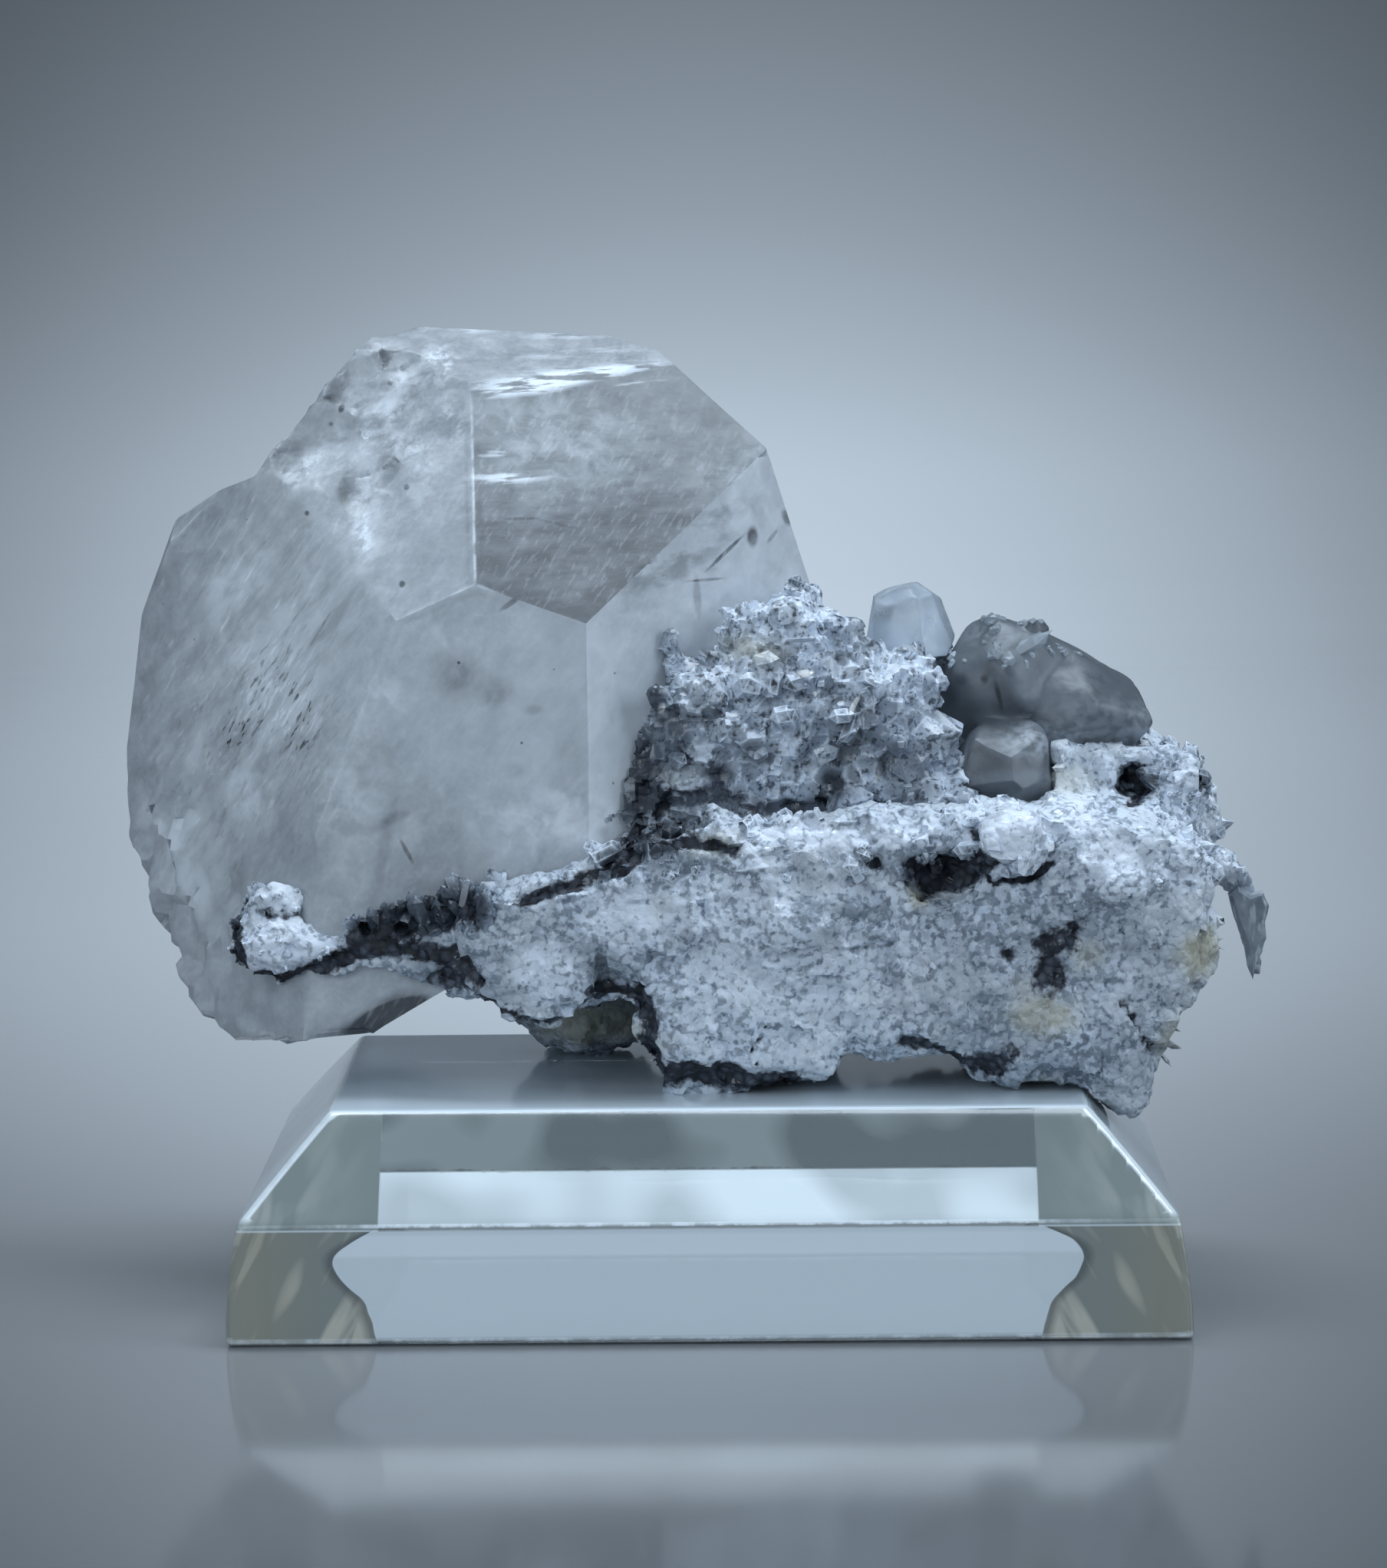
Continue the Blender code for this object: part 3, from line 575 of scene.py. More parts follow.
def large_calcite_finish():
    finish = Finish("large_calcite")
    cloud = finish.noise(13.0, detail=5.0, distortion=0.8)
    mottle = finish.noise(2.8, detail=6.0, rough=0.6, distortion=0.5)
    wisps = finish.noise(2.6, detail=5.0, place=finish.turned((0.0, 48.0, 0.0), (0.22, 0.5, 1.2)))
    ragged = finish.noise(1.5, detail=5.0)
    level = finish.noise(2.2, detail=5.0, place=finish.turned((0.0, 3.0, 0.0), (0.24, 0.4, 1.0)))
    hatch = finish.noise(0.5, detail=3.0, place=finish.turned((0.0, 4.0, 0.0), (0.1, 0.2, 1.0)))
    hairs = finish.noise(0.4, detail=2.0, place=finish.turned((0.0, -31.0, 0.0), (1.0, 0.2, 0.2)))
    grain = finish.noise(0.9, detail=4.0, place=finish.turned((0.0, -38.0, 0.0), (1.0, 0.6, 0.4)))
    scratches = finish.noise(0.42, detail=3.0, place=finish.turned((0.0, 56.0, 0.0), (0.09, 0.3, 1.0)))

    edge_way = finish.attribute("edge_way")
    shaded_face = finish.attribute("shaded_face")
    lit_face = finish.attribute("lit_face")

    zones = finish.patches(CALCITE_NEEDLE_ZONES, 0.6)
    streaks = 0.25 + finish.patch(*CALCITE_LEFT)
    scratched = streaks * (1.0 - shaded_face)
    needles = hairs.above(0.62, 0.025) * zones * (0.4 + mottle)
    upper = finish.patch(*CALCITE_UPPER)
    layers = upper * level.above(0.53, 0.08) * 0.42
    clouds = finish.patches(CALCITE_CLOUDS) * (0.25 + 1.1 * ragged)
    stones = finish.patches(CALCITE_STONES, 0.3) * (0.6 + 0.8 * ragged)
    # Painted shade at the crystal's foot.
    foot = finish.patches(CALCITE_FOOT_SHADE, 0.5)
    dots = finish.flecks(3.4, 0.045, 0.25) * 0.8
    # Dark needles, layers, clouds, stones and specks, with the painted shade at the foot.
    dark = (0.75 * needles + layers + 0.8 * clouds + 0.85 * stones + dots + 1.2 * foot
            + 0.1 * zones + streaks * wisps.above(0.57, 0.06) * 0.26
            + scratched * scratches.above(0.65, 0.03) * 0.22).clamp()

    veils = finish.patches(CALCITE_VEILS, 0.6) * mottle.above(0.46, 0.12)
    crumbs = finish.patches(CALCITE_CRUMBS, 0.5) * grain.above(0.53, 0.06) * 0.65
    glints = finish.patches(CALCITE_GLINTS, 0.5) * hatch.above(0.49, 0.05)
    light_hairs = hairs.below(0.4, 0.03) * (0.25 + zones) * 0.35
    up = finish.parts(finish.place)[2]
    # Painted highlights along the sharp edges, and a darker line just beside them.
    edge_highlight_zones = finish.patches(CALCITE_EDGE_HIGHLIGHTS, 0.25)
    edge_highlight = edge_way.below(0.16, 0.1) * edge_highlight_zones * ragged.above(0.4, 0.14)
    groove = edge_way.above(0.5, 0.15) * edge_way.below(0.95, 0.2) * edge_highlight_zones * ragged * 0.35
    dark = (dark + groove).clamp()
    # Pale veils, crumbs, needles and streaks, with the painted glints and painted edge highlights.
    white = (0.7 * veils + crumbs + glints + 0.55 * edge_highlight + light_hairs
             + streaks * wisps.below(0.43, 0.06) * 0.22
             + scratched * scratches.below(0.36, 0.03) * 0.3).clamp()

    tint = finish.mix(cloud.above(0.5, 0.22), (0.7, 0.74, 0.78), (0.86, 0.89, 0.92))
    body = finish.mix(dark, tint, (0.1, 0.115, 0.135))
    fine = finish.noise(0.5, detail=5.0)
    tone = (0.36 * cloud.above(0.5, 0.15) + 0.3 * mottle.above(0.5, 0.15) + 0.2 * ragged.above(0.5, 0.12)
            + 0.2 * fine.above(0.53, 0.06)).clamp()
    milky = finish.mix(tone, (0.45, 0.48, 0.51), (0.86, 0.89, 0.92))
    milky = finish.mix(finish.patches(CALCITE_DIM, 0.35) * 0.75, milky, (0.24, 0.26, 0.28))
    milky = finish.mix(finish.patches(CALCITE_PALE, 0.4) * (0.5 + 0.6 * mottle), milky, (0.86, 0.9, 0.94))
    low_part = up.below(88.0, 16.0)
    # Painted shade on the upper right face, stronger towards its foot, and painted light on the right face.
    milky = finish.mix(shaded_face * (0.72 + 0.28 * low_part) * (0.75 + 0.5 * level), milky, (0.07, 0.08, 0.09))
    milky = finish.mix(lit_face * 0.7, milky, (0.88, 0.93, 0.98))
    frosted = finish.mix(white, finish.mix(dark, milky, (0.05, 0.056, 0.066)), (0.86, 0.92, 0.98))

    rubble = finish.patch(*CALCITE_BREAK) * grain.above(0.42, 0.1)
    relief = finish.noise(8.0, detail=2.0) + level * 0.3 * upper + ragged * (0.1 + crumbs + 0.35 * rubble)
    skin = finish.bump(relief, 0.35, 0.5)
    finish.set(Base_Color=body, Roughness=0.22 + 0.2 * wisps, Transmission_Weight=0.95, IOR=1.48, Normal=skin)
    frost = finish.add_shader(Base_Color=frosted, Roughness=0.42, IOR=1.5, Normal=skin)
    veil = (0.28 + 0.36 * mottle + 0.55 * white + 0.45 * dark + shaded_face * (0.2 + 0.2 * low_part)
            + lit_face * 0.15 + 0.1 * streaks).clamp()
    finish.blend_shaders(veil, finish.shader, frost)
    finish.absorb((0.76, 0.83, 0.88), 7.0)
    return finish.material


# Marks in the grey crystals: centre, radii, lean, strength.
GREY_CALCITE_SPECKS = (
    ((30.3, -5.0, 66.8), (0.4, 4.0, 0.5), 0.0, 1.0),
    ((31.8, -5.0, 65.2), (0.3, 4.0, 1.6), -14.0, 0.8),
    ((27.8, -5.0, 66.7), (0.7, 4.0, 0.6), 0.0, 0.4),
    ((26.7, -5.0, 64.6), (0.8, 4.0, 1.6), 0.0, 0.35),
    ((40.5, -5.0, 67.0), (3.4, 6.0, 2.0), 20.0, 0.35),
    ((34.0, -5.0, 62.6), (5.0, 6.0, 1.2), 60.0, 0.45),
    ((26.0, -6.0, 57.6), (0.6, 5.0, 2.6), -35.0, 0.6),
)
GREY_CALCITE_VEILS = (
    ((43.0, -5.0, 60.4), (7.5, 30.0, 2.8), 0.0, 0.45),
    ((40.4, -5.0, 65.0), (5.0, 30.0, 2.4), 35.0, 0.35),
    ((36.0, -5.0, 60.4), (4.4, 30.0, 1.6), 0.0, 0.9),
    ((27.0, -5.0, 60.8), (3.4, 30.0, 1.4), 60.0, 0.6),
    ((31.0, -5.0, 71.6), (4.0, 30.0, 1.0), 0.0, 0.6),
    ((48.6, -5.0, 62.0), (2.0, 30.0, 4.0), 30.0, 0.5),
)


def grey_calcite_finish():
    finish = Finish("grey_calcite")
    cloud = finish.noise(4.2, detail=4.0, distortion=0.5)
    mottle = finish.noise(1.1, detail=5.0)
    specks = finish.patches(GREY_CALCITE_SPECKS, 0.4) * (0.5 + mottle)
    veils = finish.patches(GREY_CALCITE_VEILS, 0.6) * mottle.above(0.45, 0.12)
    tint = finish.mix(cloud.above(0.5, 0.2), (0.42, 0.47, 0.52), (0.68, 0.73, 0.78))
    skin = finish.bump(cloud + 0.15 * mottle, 0.3, 0.5)
    finish.set(Base_Color=finish.mix(specks.clamp(), tint, (0.05, 0.06, 0.07)), Roughness=0.3 + 0.2 * cloud,
               Transmission_Weight=0.85, IOR=1.5, Normal=skin)
    milky = finish.mix((0.6 * cloud.above(0.5, 0.15) + 0.4 * mottle.above(0.5, 0.15)).clamp(),
                       (0.06, 0.071, 0.085), (0.125, 0.143, 0.165))
    milky = finish.mix(specks.clamp(), milky, (0.02, 0.022, 0.028))
    milky = finish.mix(veils, milky, (0.34, 0.38, 0.43))
    frost = finish.add_shader(Base_Color=milky, Roughness=0.44, Normal=skin)
    finish.blend_shaders((0.45 + 0.3 * veils + 0.3 * specks).clamp(), finish.shader, frost)
    finish.absorb((0.6, 0.66, 0.7), 35.0)
    return finish.material


def small_calcite_finish():
    finish = Finish("small_calcite")
    cloud = finish.noise(2.6, detail=4.0)
    foot = finish.patch((22.0, -1.0, 68.5), (7.0, 7.0, 3.6))
    finish.set(Base_Color=(0.86, 0.91, 0.95), Roughness=0.2 + 0.2 * cloud, Transmission_Weight=0.9, IOR=1.54,
               Normal=finish.bump(cloud, 0.15, 0.5))
    frost = finish.add_shader(Base_Color=(0.62, 0.7, 0.78), Roughness=0.5)
    finish.blend_shaders((0.22 + 0.5 * foot + 0.3 * cloud.above(0.58, 0.1)).clamp(), finish.shader, frost)
    return finish.material


def matrix_finish():
    finish = Finish("quartz_matrix")
    grain = finish.attribute("grain")
    dirt = finish.attribute("dirt")
    ochre = finish.attribute("ochre")
    slate = finish.attribute("slate")
    snow = finish.attribute("snow")
    zone = finish.noise(6.0, detail=5.0)
    mottle = finish.noise(0.8, detail=3.0, rough=0.5)
    coarse_mottle = finish.noise(1.9, detail=3.0)
    sugar = finish.node("ShaderNodeTexVoronoi", {"Vector": finish.place, "Scale": 1.0 / 0.95})
    sugar_tone, sugar_shine, _ = finish.parts(sugar.outputs["Color"])
    core = Signal(finish, sugar.outputs["Distance"]).below(0.5, 0.3)

    flecks = (mottle + 0.6 * zone).above(0.87, 0.06) * 0.8
    gaps = core.below(0.3, 0.3) * sugar_shine.above(0.4, 0.2)
    spots = (flecks + gaps * 0.42 + core * sugar_tone.above(0.74, 0.1) * 0.4
             + 0.12 * grain + 0.75 * slate - 0.5 * snow).clamp()
    white = finish.mix(zone.above(0.5, 0.14), (0.66, 0.705, 0.75), (0.63, 0.71, 0.83))
    white = finish.mix(snow, white, (0.82, 0.88, 0.98))
    white = finish.mix(sugar_tone * 0.35, white, (0.85, 0.9, 0.95))
    grey = finish.mix(sugar_tone, (0.16, 0.195, 0.24), (0.32, 0.37, 0.43))
    skin = finish.mix(spots, white, grey)
    stained = finish.mix((ochre * (0.4 + 0.9 * coarse_mottle)).clamp(), skin, (0.42, 0.4, 0.28))
    # Painted shade in the hollows: near black, lighter in places.
    hollow_shade_colour = finish.mix(core * sugar_tone, (0.006, 0.008, 0.015), (0.11, 0.13, 0.17))
    dirty = (dirt + 0.9 * (mottle - 0.5) + 0.5 * (coarse_mottle - 0.5)).above(0.52, 0.16)
    colour = finish.mix(dirty, stained, hollow_shade_colour)
    relief = finish.bump(core * 0.8 + mottle * 0.8 + coarse_mottle * 0.5, 0.28, 0.6)
    rough = 0.62 - 0.45 * sugar_shine.above(0.86, 0.03)
    finish.set(Base_Color=colour, Roughness=rough, IOR=1.54, Normal=relief)
    return finish.material


def splinter_finish():
    finish = Finish("quartz_splinter")
    cloud = finish.noise(2.4, detail=4.0)
    streaks = finish.noise(0.7, detail=4.0, place=finish.turned((0.0, 0.0, 0.0), (1.0, 1.0, 0.25)))
    tone = finish.mix(cloud.above(0.5, 0.15), (0.17, 0.2, 0.23), (0.3, 0.34, 0.38))
    finish.set(Base_Color=finish.mix(streaks.above(0.58, 0.06) * 0.6, tone, (0.6, 0.66, 0.72)), Roughness=0.32,
               IOR=1.54, Normal=finish.bump(streaks + cloud, 0.2, 0.5))
    return finish.material


# Bright faces of the crust: centre, radii, lean, strength.
CRUST_SPARKLES = (
    ((10.8, -13.0, 68.3), (0.9, 5.0, 0.4), 0.0, 1.0),
    ((-4.8, -12.0, 64.4), (0.4, 5.0, 0.6), 20.0, 1.0),
    ((-7.1, -12.0, 58.6), (0.3, 5.0, 0.4), 0.0, 1.0),
    ((11.8, -13.0, 65.9), (0.25, 5.0, 0.3), 0.0, 1.0),
    ((16.0, -13.0, 64.6), (0.3, 5.0, 1.1), 30.0, 0.8),
    ((2.2, -13.0, 56.9), (0.3, 5.0, 0.2), 0.0, 0.9),
)


def crust_finish():
    finish = Finish("quartz_crust")
    grain = finish.attribute("grain")
    edge = finish.attribute("edge")
    dirt = finish.attribute("dirt")
    frost = finish.attribute("frost")
    ochre = finish.attribute("ochre")
    dust = finish.noise(1.0, detail=5.0)
    cloud = finish.noise(5.0, detail=4.0)
    fine = finish.noise(0.5, detail=4.0)
    inner = finish.mix(grain * (0.4 + fine), (0.11, 0.13, 0.155), (0.42, 0.47, 0.53))
    inner = finish.mix(cloud.above(0.53, 0.08) * (0.3 + 0.6 * fine), inner, (0.38, 0.45, 0.56))
    seams = edge ** 5.0 * (0.28 + 0.95 * (dust + frost * 0.4).above(0.55, 0.12))
    dusted = (seams + frost * dust.above(0.48, 0.1) * (0.4 + fine)).clamp()
    inner = finish.mix((dust + 0.4 * fine).below(0.59, 0.05) * 0.75, inner, (0.024, 0.03, 0.04))
    skin = finish.mix(dusted, inner, (0.78, 0.85, 0.94))
    stained = finish.mix(ochre, skin, (0.46, 0.46, 0.4))
    stained = finish.mix(finish.patches(CRUST_SPARKLES, 0.2), stained, (1.0, 1.0, 1.0))
    # Painted shade in the hollows, near black by the grain's tone.
    dirty = (dirt + 0.9 * (dust - 0.5)).above(0.45, 0.2)
    colour = finish.mix(dirty, stained, finish.mix(grain, (0.012, 0.016, 0.024), (0.1, 0.12, 0.15)))
    finish.set(Base_Color=colour, Roughness=0.16 + 0.5 * dusted, IOR=1.54,
               Normal=finish.bump(dust, 0.15, 0.5))
    return finish.material


def acrylic_finish():
    """Clear acrylic with painted reflections on its front and back: dull streaky ends beside a waisted pale
    window; painted light on its slopes and top, and painted highlights on its edges.
    """
    finish = Finish("acrylic_stand")
    across, away, up = finish.parts(finish.place)
    across = across.math("ABSOLUTE")
    away = away.math("ABSOLUTE")
    inset = STAND_HALF[0] - across
    waist = ((up / STAND_SHOULDER) ** 2.2 * math.pi).math("SINE")
    sway = finish.noise(14.0, detail=1.0)
    wave = finish.noise(3.0, detail=1.0)
    low = up.below(STAND_SHOULDER, 0.15)
    facing = away.above(STAND_HALF[1] - 0.4, 0.1)
    # Where the painted reflections go: streaky ends beside a waisted window on the front and back, the slopes
    # and their ends, the top and the side slopes.
    outline = inset - (16.0 - 4.4 * waist) - (wave - 0.5) * 1.2
    end = outline.below(0.0, 0.15) * low * facing
    slope = (away + up).above(STAND_HALF[1] + STAND_SHOULDER - 0.4, 0.1)
    slope = slope * (1.0 - low) * up.below(STAND_TOP - 0.2, 0.1)
    slope_end = inset.below(16.2, 0.1) * slope
    top = up.above(STAND_TOP - 0.2, 0.1)
    side_slope = (across + up).above(STAND_HALF[0] + STAND_SHOULDER - 1.6, 0.2)
    side_slope = side_slope * (1.0 - low) * (1.0 - slope) * (1.0 - top)

    leaning = finish.node("ShaderNodeCombineXYZ", {"X": across + 0.4 * up, "Y": away * 0.3, "Z": up * 0.2})
    streaks = finish.noise(4.2, detail=2.0, distortion=0.9, place=leaning.outputs["Vector"])
    # Painted reflection at the ends: olive with beige streaks, darker along the waisted outline; grey on the
    # ends of the slopes.
    end_reflection = finish.mix(streaks.above(0.53, 0.04), (0.29, 0.32, 0.3), (0.64, 0.62, 0.53))
    end_reflection = finish.mix(inset.below(7.0, 3.0) * 0.5, end_reflection, (0.38, 0.36, 0.27))
    end_reflection = finish.mix(outline.above(-1.0, 0.5) * 0.7, end_reflection, (0.1, 0.12, 0.125))
    grey = finish.mix(
        inset.below(10.0, 6.0) * streaks.above(0.5, 0.1), (0.21, 0.245, 0.24), (0.34, 0.37, 0.345))
    painted_reflection = finish.mix(slope_end, end_reflection, grey)
    # Painted light: a pale window, a bright strip on the slopes, a pale top and side slopes; and a dark band of
    # painted reflection high on the slopes.
    drips = finish.noise(1.6, detail=3.0, place=finish.turned((0.0, 0.0, 0.0), (1.0, 1.0, 0.3)))
    window = (1.0 - end) * low * facing * up.above(0.6, 0.3)
    window = window * (0.78 + 0.12 * up.above(9.4, 0.2) * up.below(11.7, 0.2))
    strip = slope * (1.0 - slope_end) * up.below(17.6, 0.1) * up.above(12.6, 0.2)
    dark_reflection_band = slope * (1.0 - slope_end) * (up + drips * 0.8).above(18.0, 0.2)
    painted_reflection = finish.mix((window * 3.0).clamp(), painted_reflection, (0.85, 0.94, 1.0))
    painted_reflection = finish.mix(strip, painted_reflection, (0.88, 0.97, 1.0))
    painted_reflection = finish.mix(top, painted_reflection, (0.8, 0.9, 0.97))
    painted_reflection = finish.mix(side_slope, painted_reflection, (0.75, 0.84, 0.9))
    painted_reflection = finish.mix(dark_reflection_band, painted_reflection, finish.mix(sway.above(0.55, 0.06), (0.16, 0.19, 0.195), (0.32, 0.36, 0.36)))

    # Painted highlights along the edges: the top and slope edges, the shoulder's middle and the foot, broken up
    # by noise.
    chips = finish.noise(2.2, detail=6.0, rough=0.65)
    edge = finish.attribute("edge_way").below(0.22, 0.1)
    shoulder = up.above(STAND_SHOULDER - 1.5, 0.2) * up.below(STAND_SHOULDER + 0.7, 0.2)
    middle = 0.15 + inset.above(14.0, 6.0)
    edge_shine = edge * (up.above(STAND_SHOULDER + 1.0, 0.3) * (0.4 + 0.7 * chips)
                     + shoulder * (0.35 + 0.65 * chips.above(0.52, 0.1)) * middle
                     + up.below(0.8, 0.2) * (0.3 + 0.5 * chips.above(0.55, 0.1))).clamp()

    scratch = finish.noise(0.25, detail=2.0, place=finish.turned((0.0, 20.0, 0.0), (0.05, 0.05, 1.0)))
    finish.set(Base_Color=(0.975, 0.985, 0.98), Roughness=0.015 + 0.05 * scratch.above(0.7, 0.04),
               Transmission_Weight=1.0, IOR=1.49, Normal=finish.bump(sway, 0.4, 0.15))
    # The painted layer over the clear acrylic; cover says how much of it lies at each place.
    skin = finish.add_shader(Base_Color=finish.mix(edge_shine, painted_reflection, (0.85, 0.92, 0.97)), Roughness=0.12, IOR=1.49)
    cover = (0.85 * end + 0.92 * slope_end + 0.85 * edge_shine + window + 0.85 * top + 0.5 * side_slope
             + 0.65 * dark_reflection_band + strip * (0.55 + 0.3 * sway.above(0.5, 0.1)))
    finish.blend_shaders(cover.clamp(), finish.shader, skin)
    finish.absorb((0.92, 0.95, 0.9), 4.0)
    return finish.material


# Pieces


def wear(piece, node, finish):
    """Finish the piece and carry it on the one body."""
    piece.data.materials.clear()
    piece.data.materials.append(finish)
    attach(piece, "root")


# The broken upper left corner: its middle, radii, right end, and the axes along its flakes.
BREAK_MIDDLE = (-38.0, 8.0, 94.0)
BREAK_RADII = (11.0, 14.0, 13.0)
BREAK_END = -28.6
FLAKE_AXES = ((0.72, 0.0, 0.69), (0.0, 1.0, 0.0), (-0.69, 0.0, 0.72))
FLAKE_STRETCH = (0.3, 0.6, 1.0)
# Shallow scars of the break that are worn smooth: X, Z, reach.
BREAK_SCARS = (
    (-42.5, 93.0, 6.8),
    (-38.0, 98.5, 6.0),
    (-36.5, 88.0, 6.2),
    (-33.0, 101.5, 5.4),
    (-45.5, 90.5, 4.8),
)
# Chipped lower left of the large crystal: centre, radii.
CHIPPED = (
    ((-60.0, 8.0, 40.0), (9.0, 40.0, 15.0)),
    ((-44.0, 0.0, 26.0), (22.0, 40.0, 4.5)),
)
# Worn edges of the large crystal that are hardly seen: their two ends.
WORN_EDGES = (
    ((-44.5, -10.2, 56.0), (-57.5, 10.4, 77.0)),
    ((-35.5, -8.8, 76.5), (-44.8, 3.7, 86.8)),
    ((-44.0, -16.0, 29.1), (-42.6, -14.2, 47.0)),
    ((-65.6, 14.8, 47.1), (-58.9, 3.5, 33.3)),
)
# A face's mark rises from 0 to 1 as its normal nears the given direction.
FACE_GAIN = 12.0
FACE_LEVEL = 10.9


def on_face(normals, direction):
    """1 on the flat face that points this way and 0 on the others."""
    return np.clip(normals @ np.array(direction) * FACE_GAIN - FACE_LEVEL, 0.0, 1.0)


def within(places, low, high):
    """Whether each point is inside a box given by two of its corners."""
    return ((places > low) & (places < high)).all(axis=1)


def make_large_calcite():
    piece = copy_of("large_calcite", "large_calcite_crystal", flat_faces=True)
    edges = sharp_edges(piece, 8.0)
    worn = distance_to(edges.mean(axis=1), np.array(WORN_EDGES)) < 1.5
    edges = edges[~worn]
    places, _ = bevel_and_slice(piece, 0.3, 2, 9.0, 1.2)
    near = distance_to(places, np.array(WORN_EDGES)) < 7.0
    soften(piece, near & (distance_to(places, edges) > 1.2), 40)
    places, normals = points_of(piece)
    scarred = np.zeros(len(places), bool)
    for x, z, reach in BREAK_SCARS:
        scarred |= np.hypot(places[:, 0] - x, places[:, 2] - z) < reach
    soften(piece, scarred & (normals[:, 1] < 0.2) & (places[:, 0] < BREAK_END), 30)
    places, normals = points_of(piece)
    paint(piece, "edge_way", distance_to(places, edges))
    # Which points lie on the face with painted shade and on the face with painted light.
    paint(piece, "shaded_face", on_face(normals, SHADED_FACE))
    paint(piece, "lit_face", on_face(normals, LIT_FACE))
    broken = blot(places, BREAK_MIDDLE, BREAK_RADII, 0.2)
    broken *= np.clip(layered_noise(places, 7.0, 3) * 3.0 - 0.9, 0.0, 1.0)
    along = places @ np.array(FLAKE_AXES).T
    height, _, _ = facet_push(along * FLAKE_STRETCH, 2.2, 0.3, 0.0, 40)
    push = (height - 0.1) * broken * 0.8
    for centre, radii in CHIPPED:
        chips, _, _ = facet_push(places, 4.2, 0.2, 0.0, 45)
        push += (chips - 0.35) * blot(places, centre, radii, 0.2)
    push += (layered_noise(places, 12.0, 5) - 0.5) * 0.3
    move_points(piece, places + normals * push[:, None])
    shade(piece, 12.0)
    wear(piece, "large_calcite", large_calcite_finish())
    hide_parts("large_calcite")


# Boxes, as their low and high corners: the sharper lower crystal, and where crumbs lie.
LOWER_CRYSTAL_BOX = ((-FAR, -FAR, -FAR), (34.5, FAR, 60.6))
CRUMB_BOX = ((-FAR, -FAR, 68.0), (41.0, -1.0, FAR))
LYING_CRYSTAL = (35.0, -5.0)


def make_grey_calcite():
    piece = copy_of("grey_calcite", "grey_calcite_crystals", flat_faces=True)
    places, _ = bevel_and_slice(piece, 0.35, 2, 9.0, 1.0)
    lower_crystal = within(places, *LOWER_CRYSTAL_BOX)
    soften(piece, ~lower_crystal, 32)
    soften(piece, lower_crystal, 4)
    ripple(piece, 4.0, 51, 0.9)
    shade(piece, 60.0)
    wear(piece, "grey_calcite", grey_calcite_finish())
    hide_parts("grey_calcite")


def make_grey_crumbs(finish):
    """Pale crumbs on top of the grey crystals, and a small crystal lying there."""
    places, normals = points_of(bpy.data.objects["grey_calcite_crystals"])
    druse = Druse(67)
    top = (normals[:, 2] > 0.35) & within(places, *CRUMB_BOX)
    druse.scatter(places, normals, top, 34, (0.35, 0.9), (0.35, 0.7), 0.8)
    nearest = np.argmin(np.abs(places[top, :2] - LYING_CRYSTAL).sum(axis=1))
    druse.add(places[top][nearest] + (0.0, 0.0, 0.5), (0.9, -0.2, 0.45), 1.0, 2.2, 0.4, 0.5)
    druse.finish("grey_calcite_crumbs", finish, "grey_calcite")


def make_small_calcite():
    piece = copy_of("small_calcite", "small_calcite_crystal", flat_faces=True)
    bevel_and_slice(piece, 0.3, 3, 9.0, 0.9)
    ripple(piece, 2.4, 61, 0.35)
    shade(piece, 14.0)
    finish = small_calcite_finish()
    wear(piece, "small_calcite", finish)
    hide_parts("small_calcite")
    make_grey_crumbs(finish)


# Painted shade in the matrix's cracks and crevices, around its knobs and under its lump, as dark bands: (X, Z)
# paths with a half width and a strength.
SHADE_BANDS = (
    (((-36.6, 41.0), (-34.0, 42.0), (-30.5, 43.0), (-27.5, 43.8), (-24.8, 44.2)), 2.3, 1.0),
    (((-49.6, 35.9), (-46.0, 35.6), (-43.2, 35.4)), 0.7, 1.0),
    (((-43.6, 35.8), (-41.0, 37.2), (-37.6, 38.9), (-32.4, 39.2), (-27.4, 38.6), (-25.0, 36.4)), 1.25, 1.0),
    (((-51.4, 43.6), (-52.0, 41.0), (-51.2, 38.6), (-50.0, 36.4)), 0.8, 0.9),
    (((-48.6, 43.2), (-45.6, 42.8), (-43.4, 41.8)), 0.5, 0.6),
    (((-24.5, 32.8), (-20.7, 31.6), (-18.5, 30.9), (-12.4, 31.8), (-7.1, 32.6)), 0.6, 0.9),
    (((-12.2, 34.3), (-10.7, 35.3), (-8.5, 34.3), (-7.2, 33.2)), 1.0, 1.0),
    (((-6.9, 33.4), (-6.6, 28.6), (-5.4, 26.0), (-3.0, 25.3)), 1.1, 1.0),
    (((-5.4, 25.7), (-1.9, 25.6), (2.0, 24.9), (5.1, 24.5), (9.0, 24.6)), 1.5, 1.0),
    (((-20.0, 44.5), (-18.0, 45.3), (-13.4, 46.8), (-9.2, 48.3), (-5.9, 50.1), (-1.7, 50.6),
      (3.2, 50.4)), 0.8, 0.95),
    (((-9.4, 49.0), (-5.4, 52.2), (-1.0, 53.4)), 1.5, 0.8),
    (((24.0, 45.6), (27.5, 47.0), (29.6, 48.6)), 1.4, 0.9),
    (((28.8, 52.0), (29.2, 48.4), (31.2, 46.2), (34.6, 46.6), (36.6, 48.4)), 0.5, 1.0),
    (((44.4, 33.2), (46.6, 30.4), (48.0, 27.0)), 0.4, 0.7),
    (((5.6, 31.0), (6.8, 30.8), (5.2, 28.8), (5.6, 27.0)), 0.16, 0.8),
    (((20.8, 29.0), (22.4, 29.2), (24.4, 28.4), (27.0, 26.4), (31.0, 25.2)), 0.7, 0.9),
)
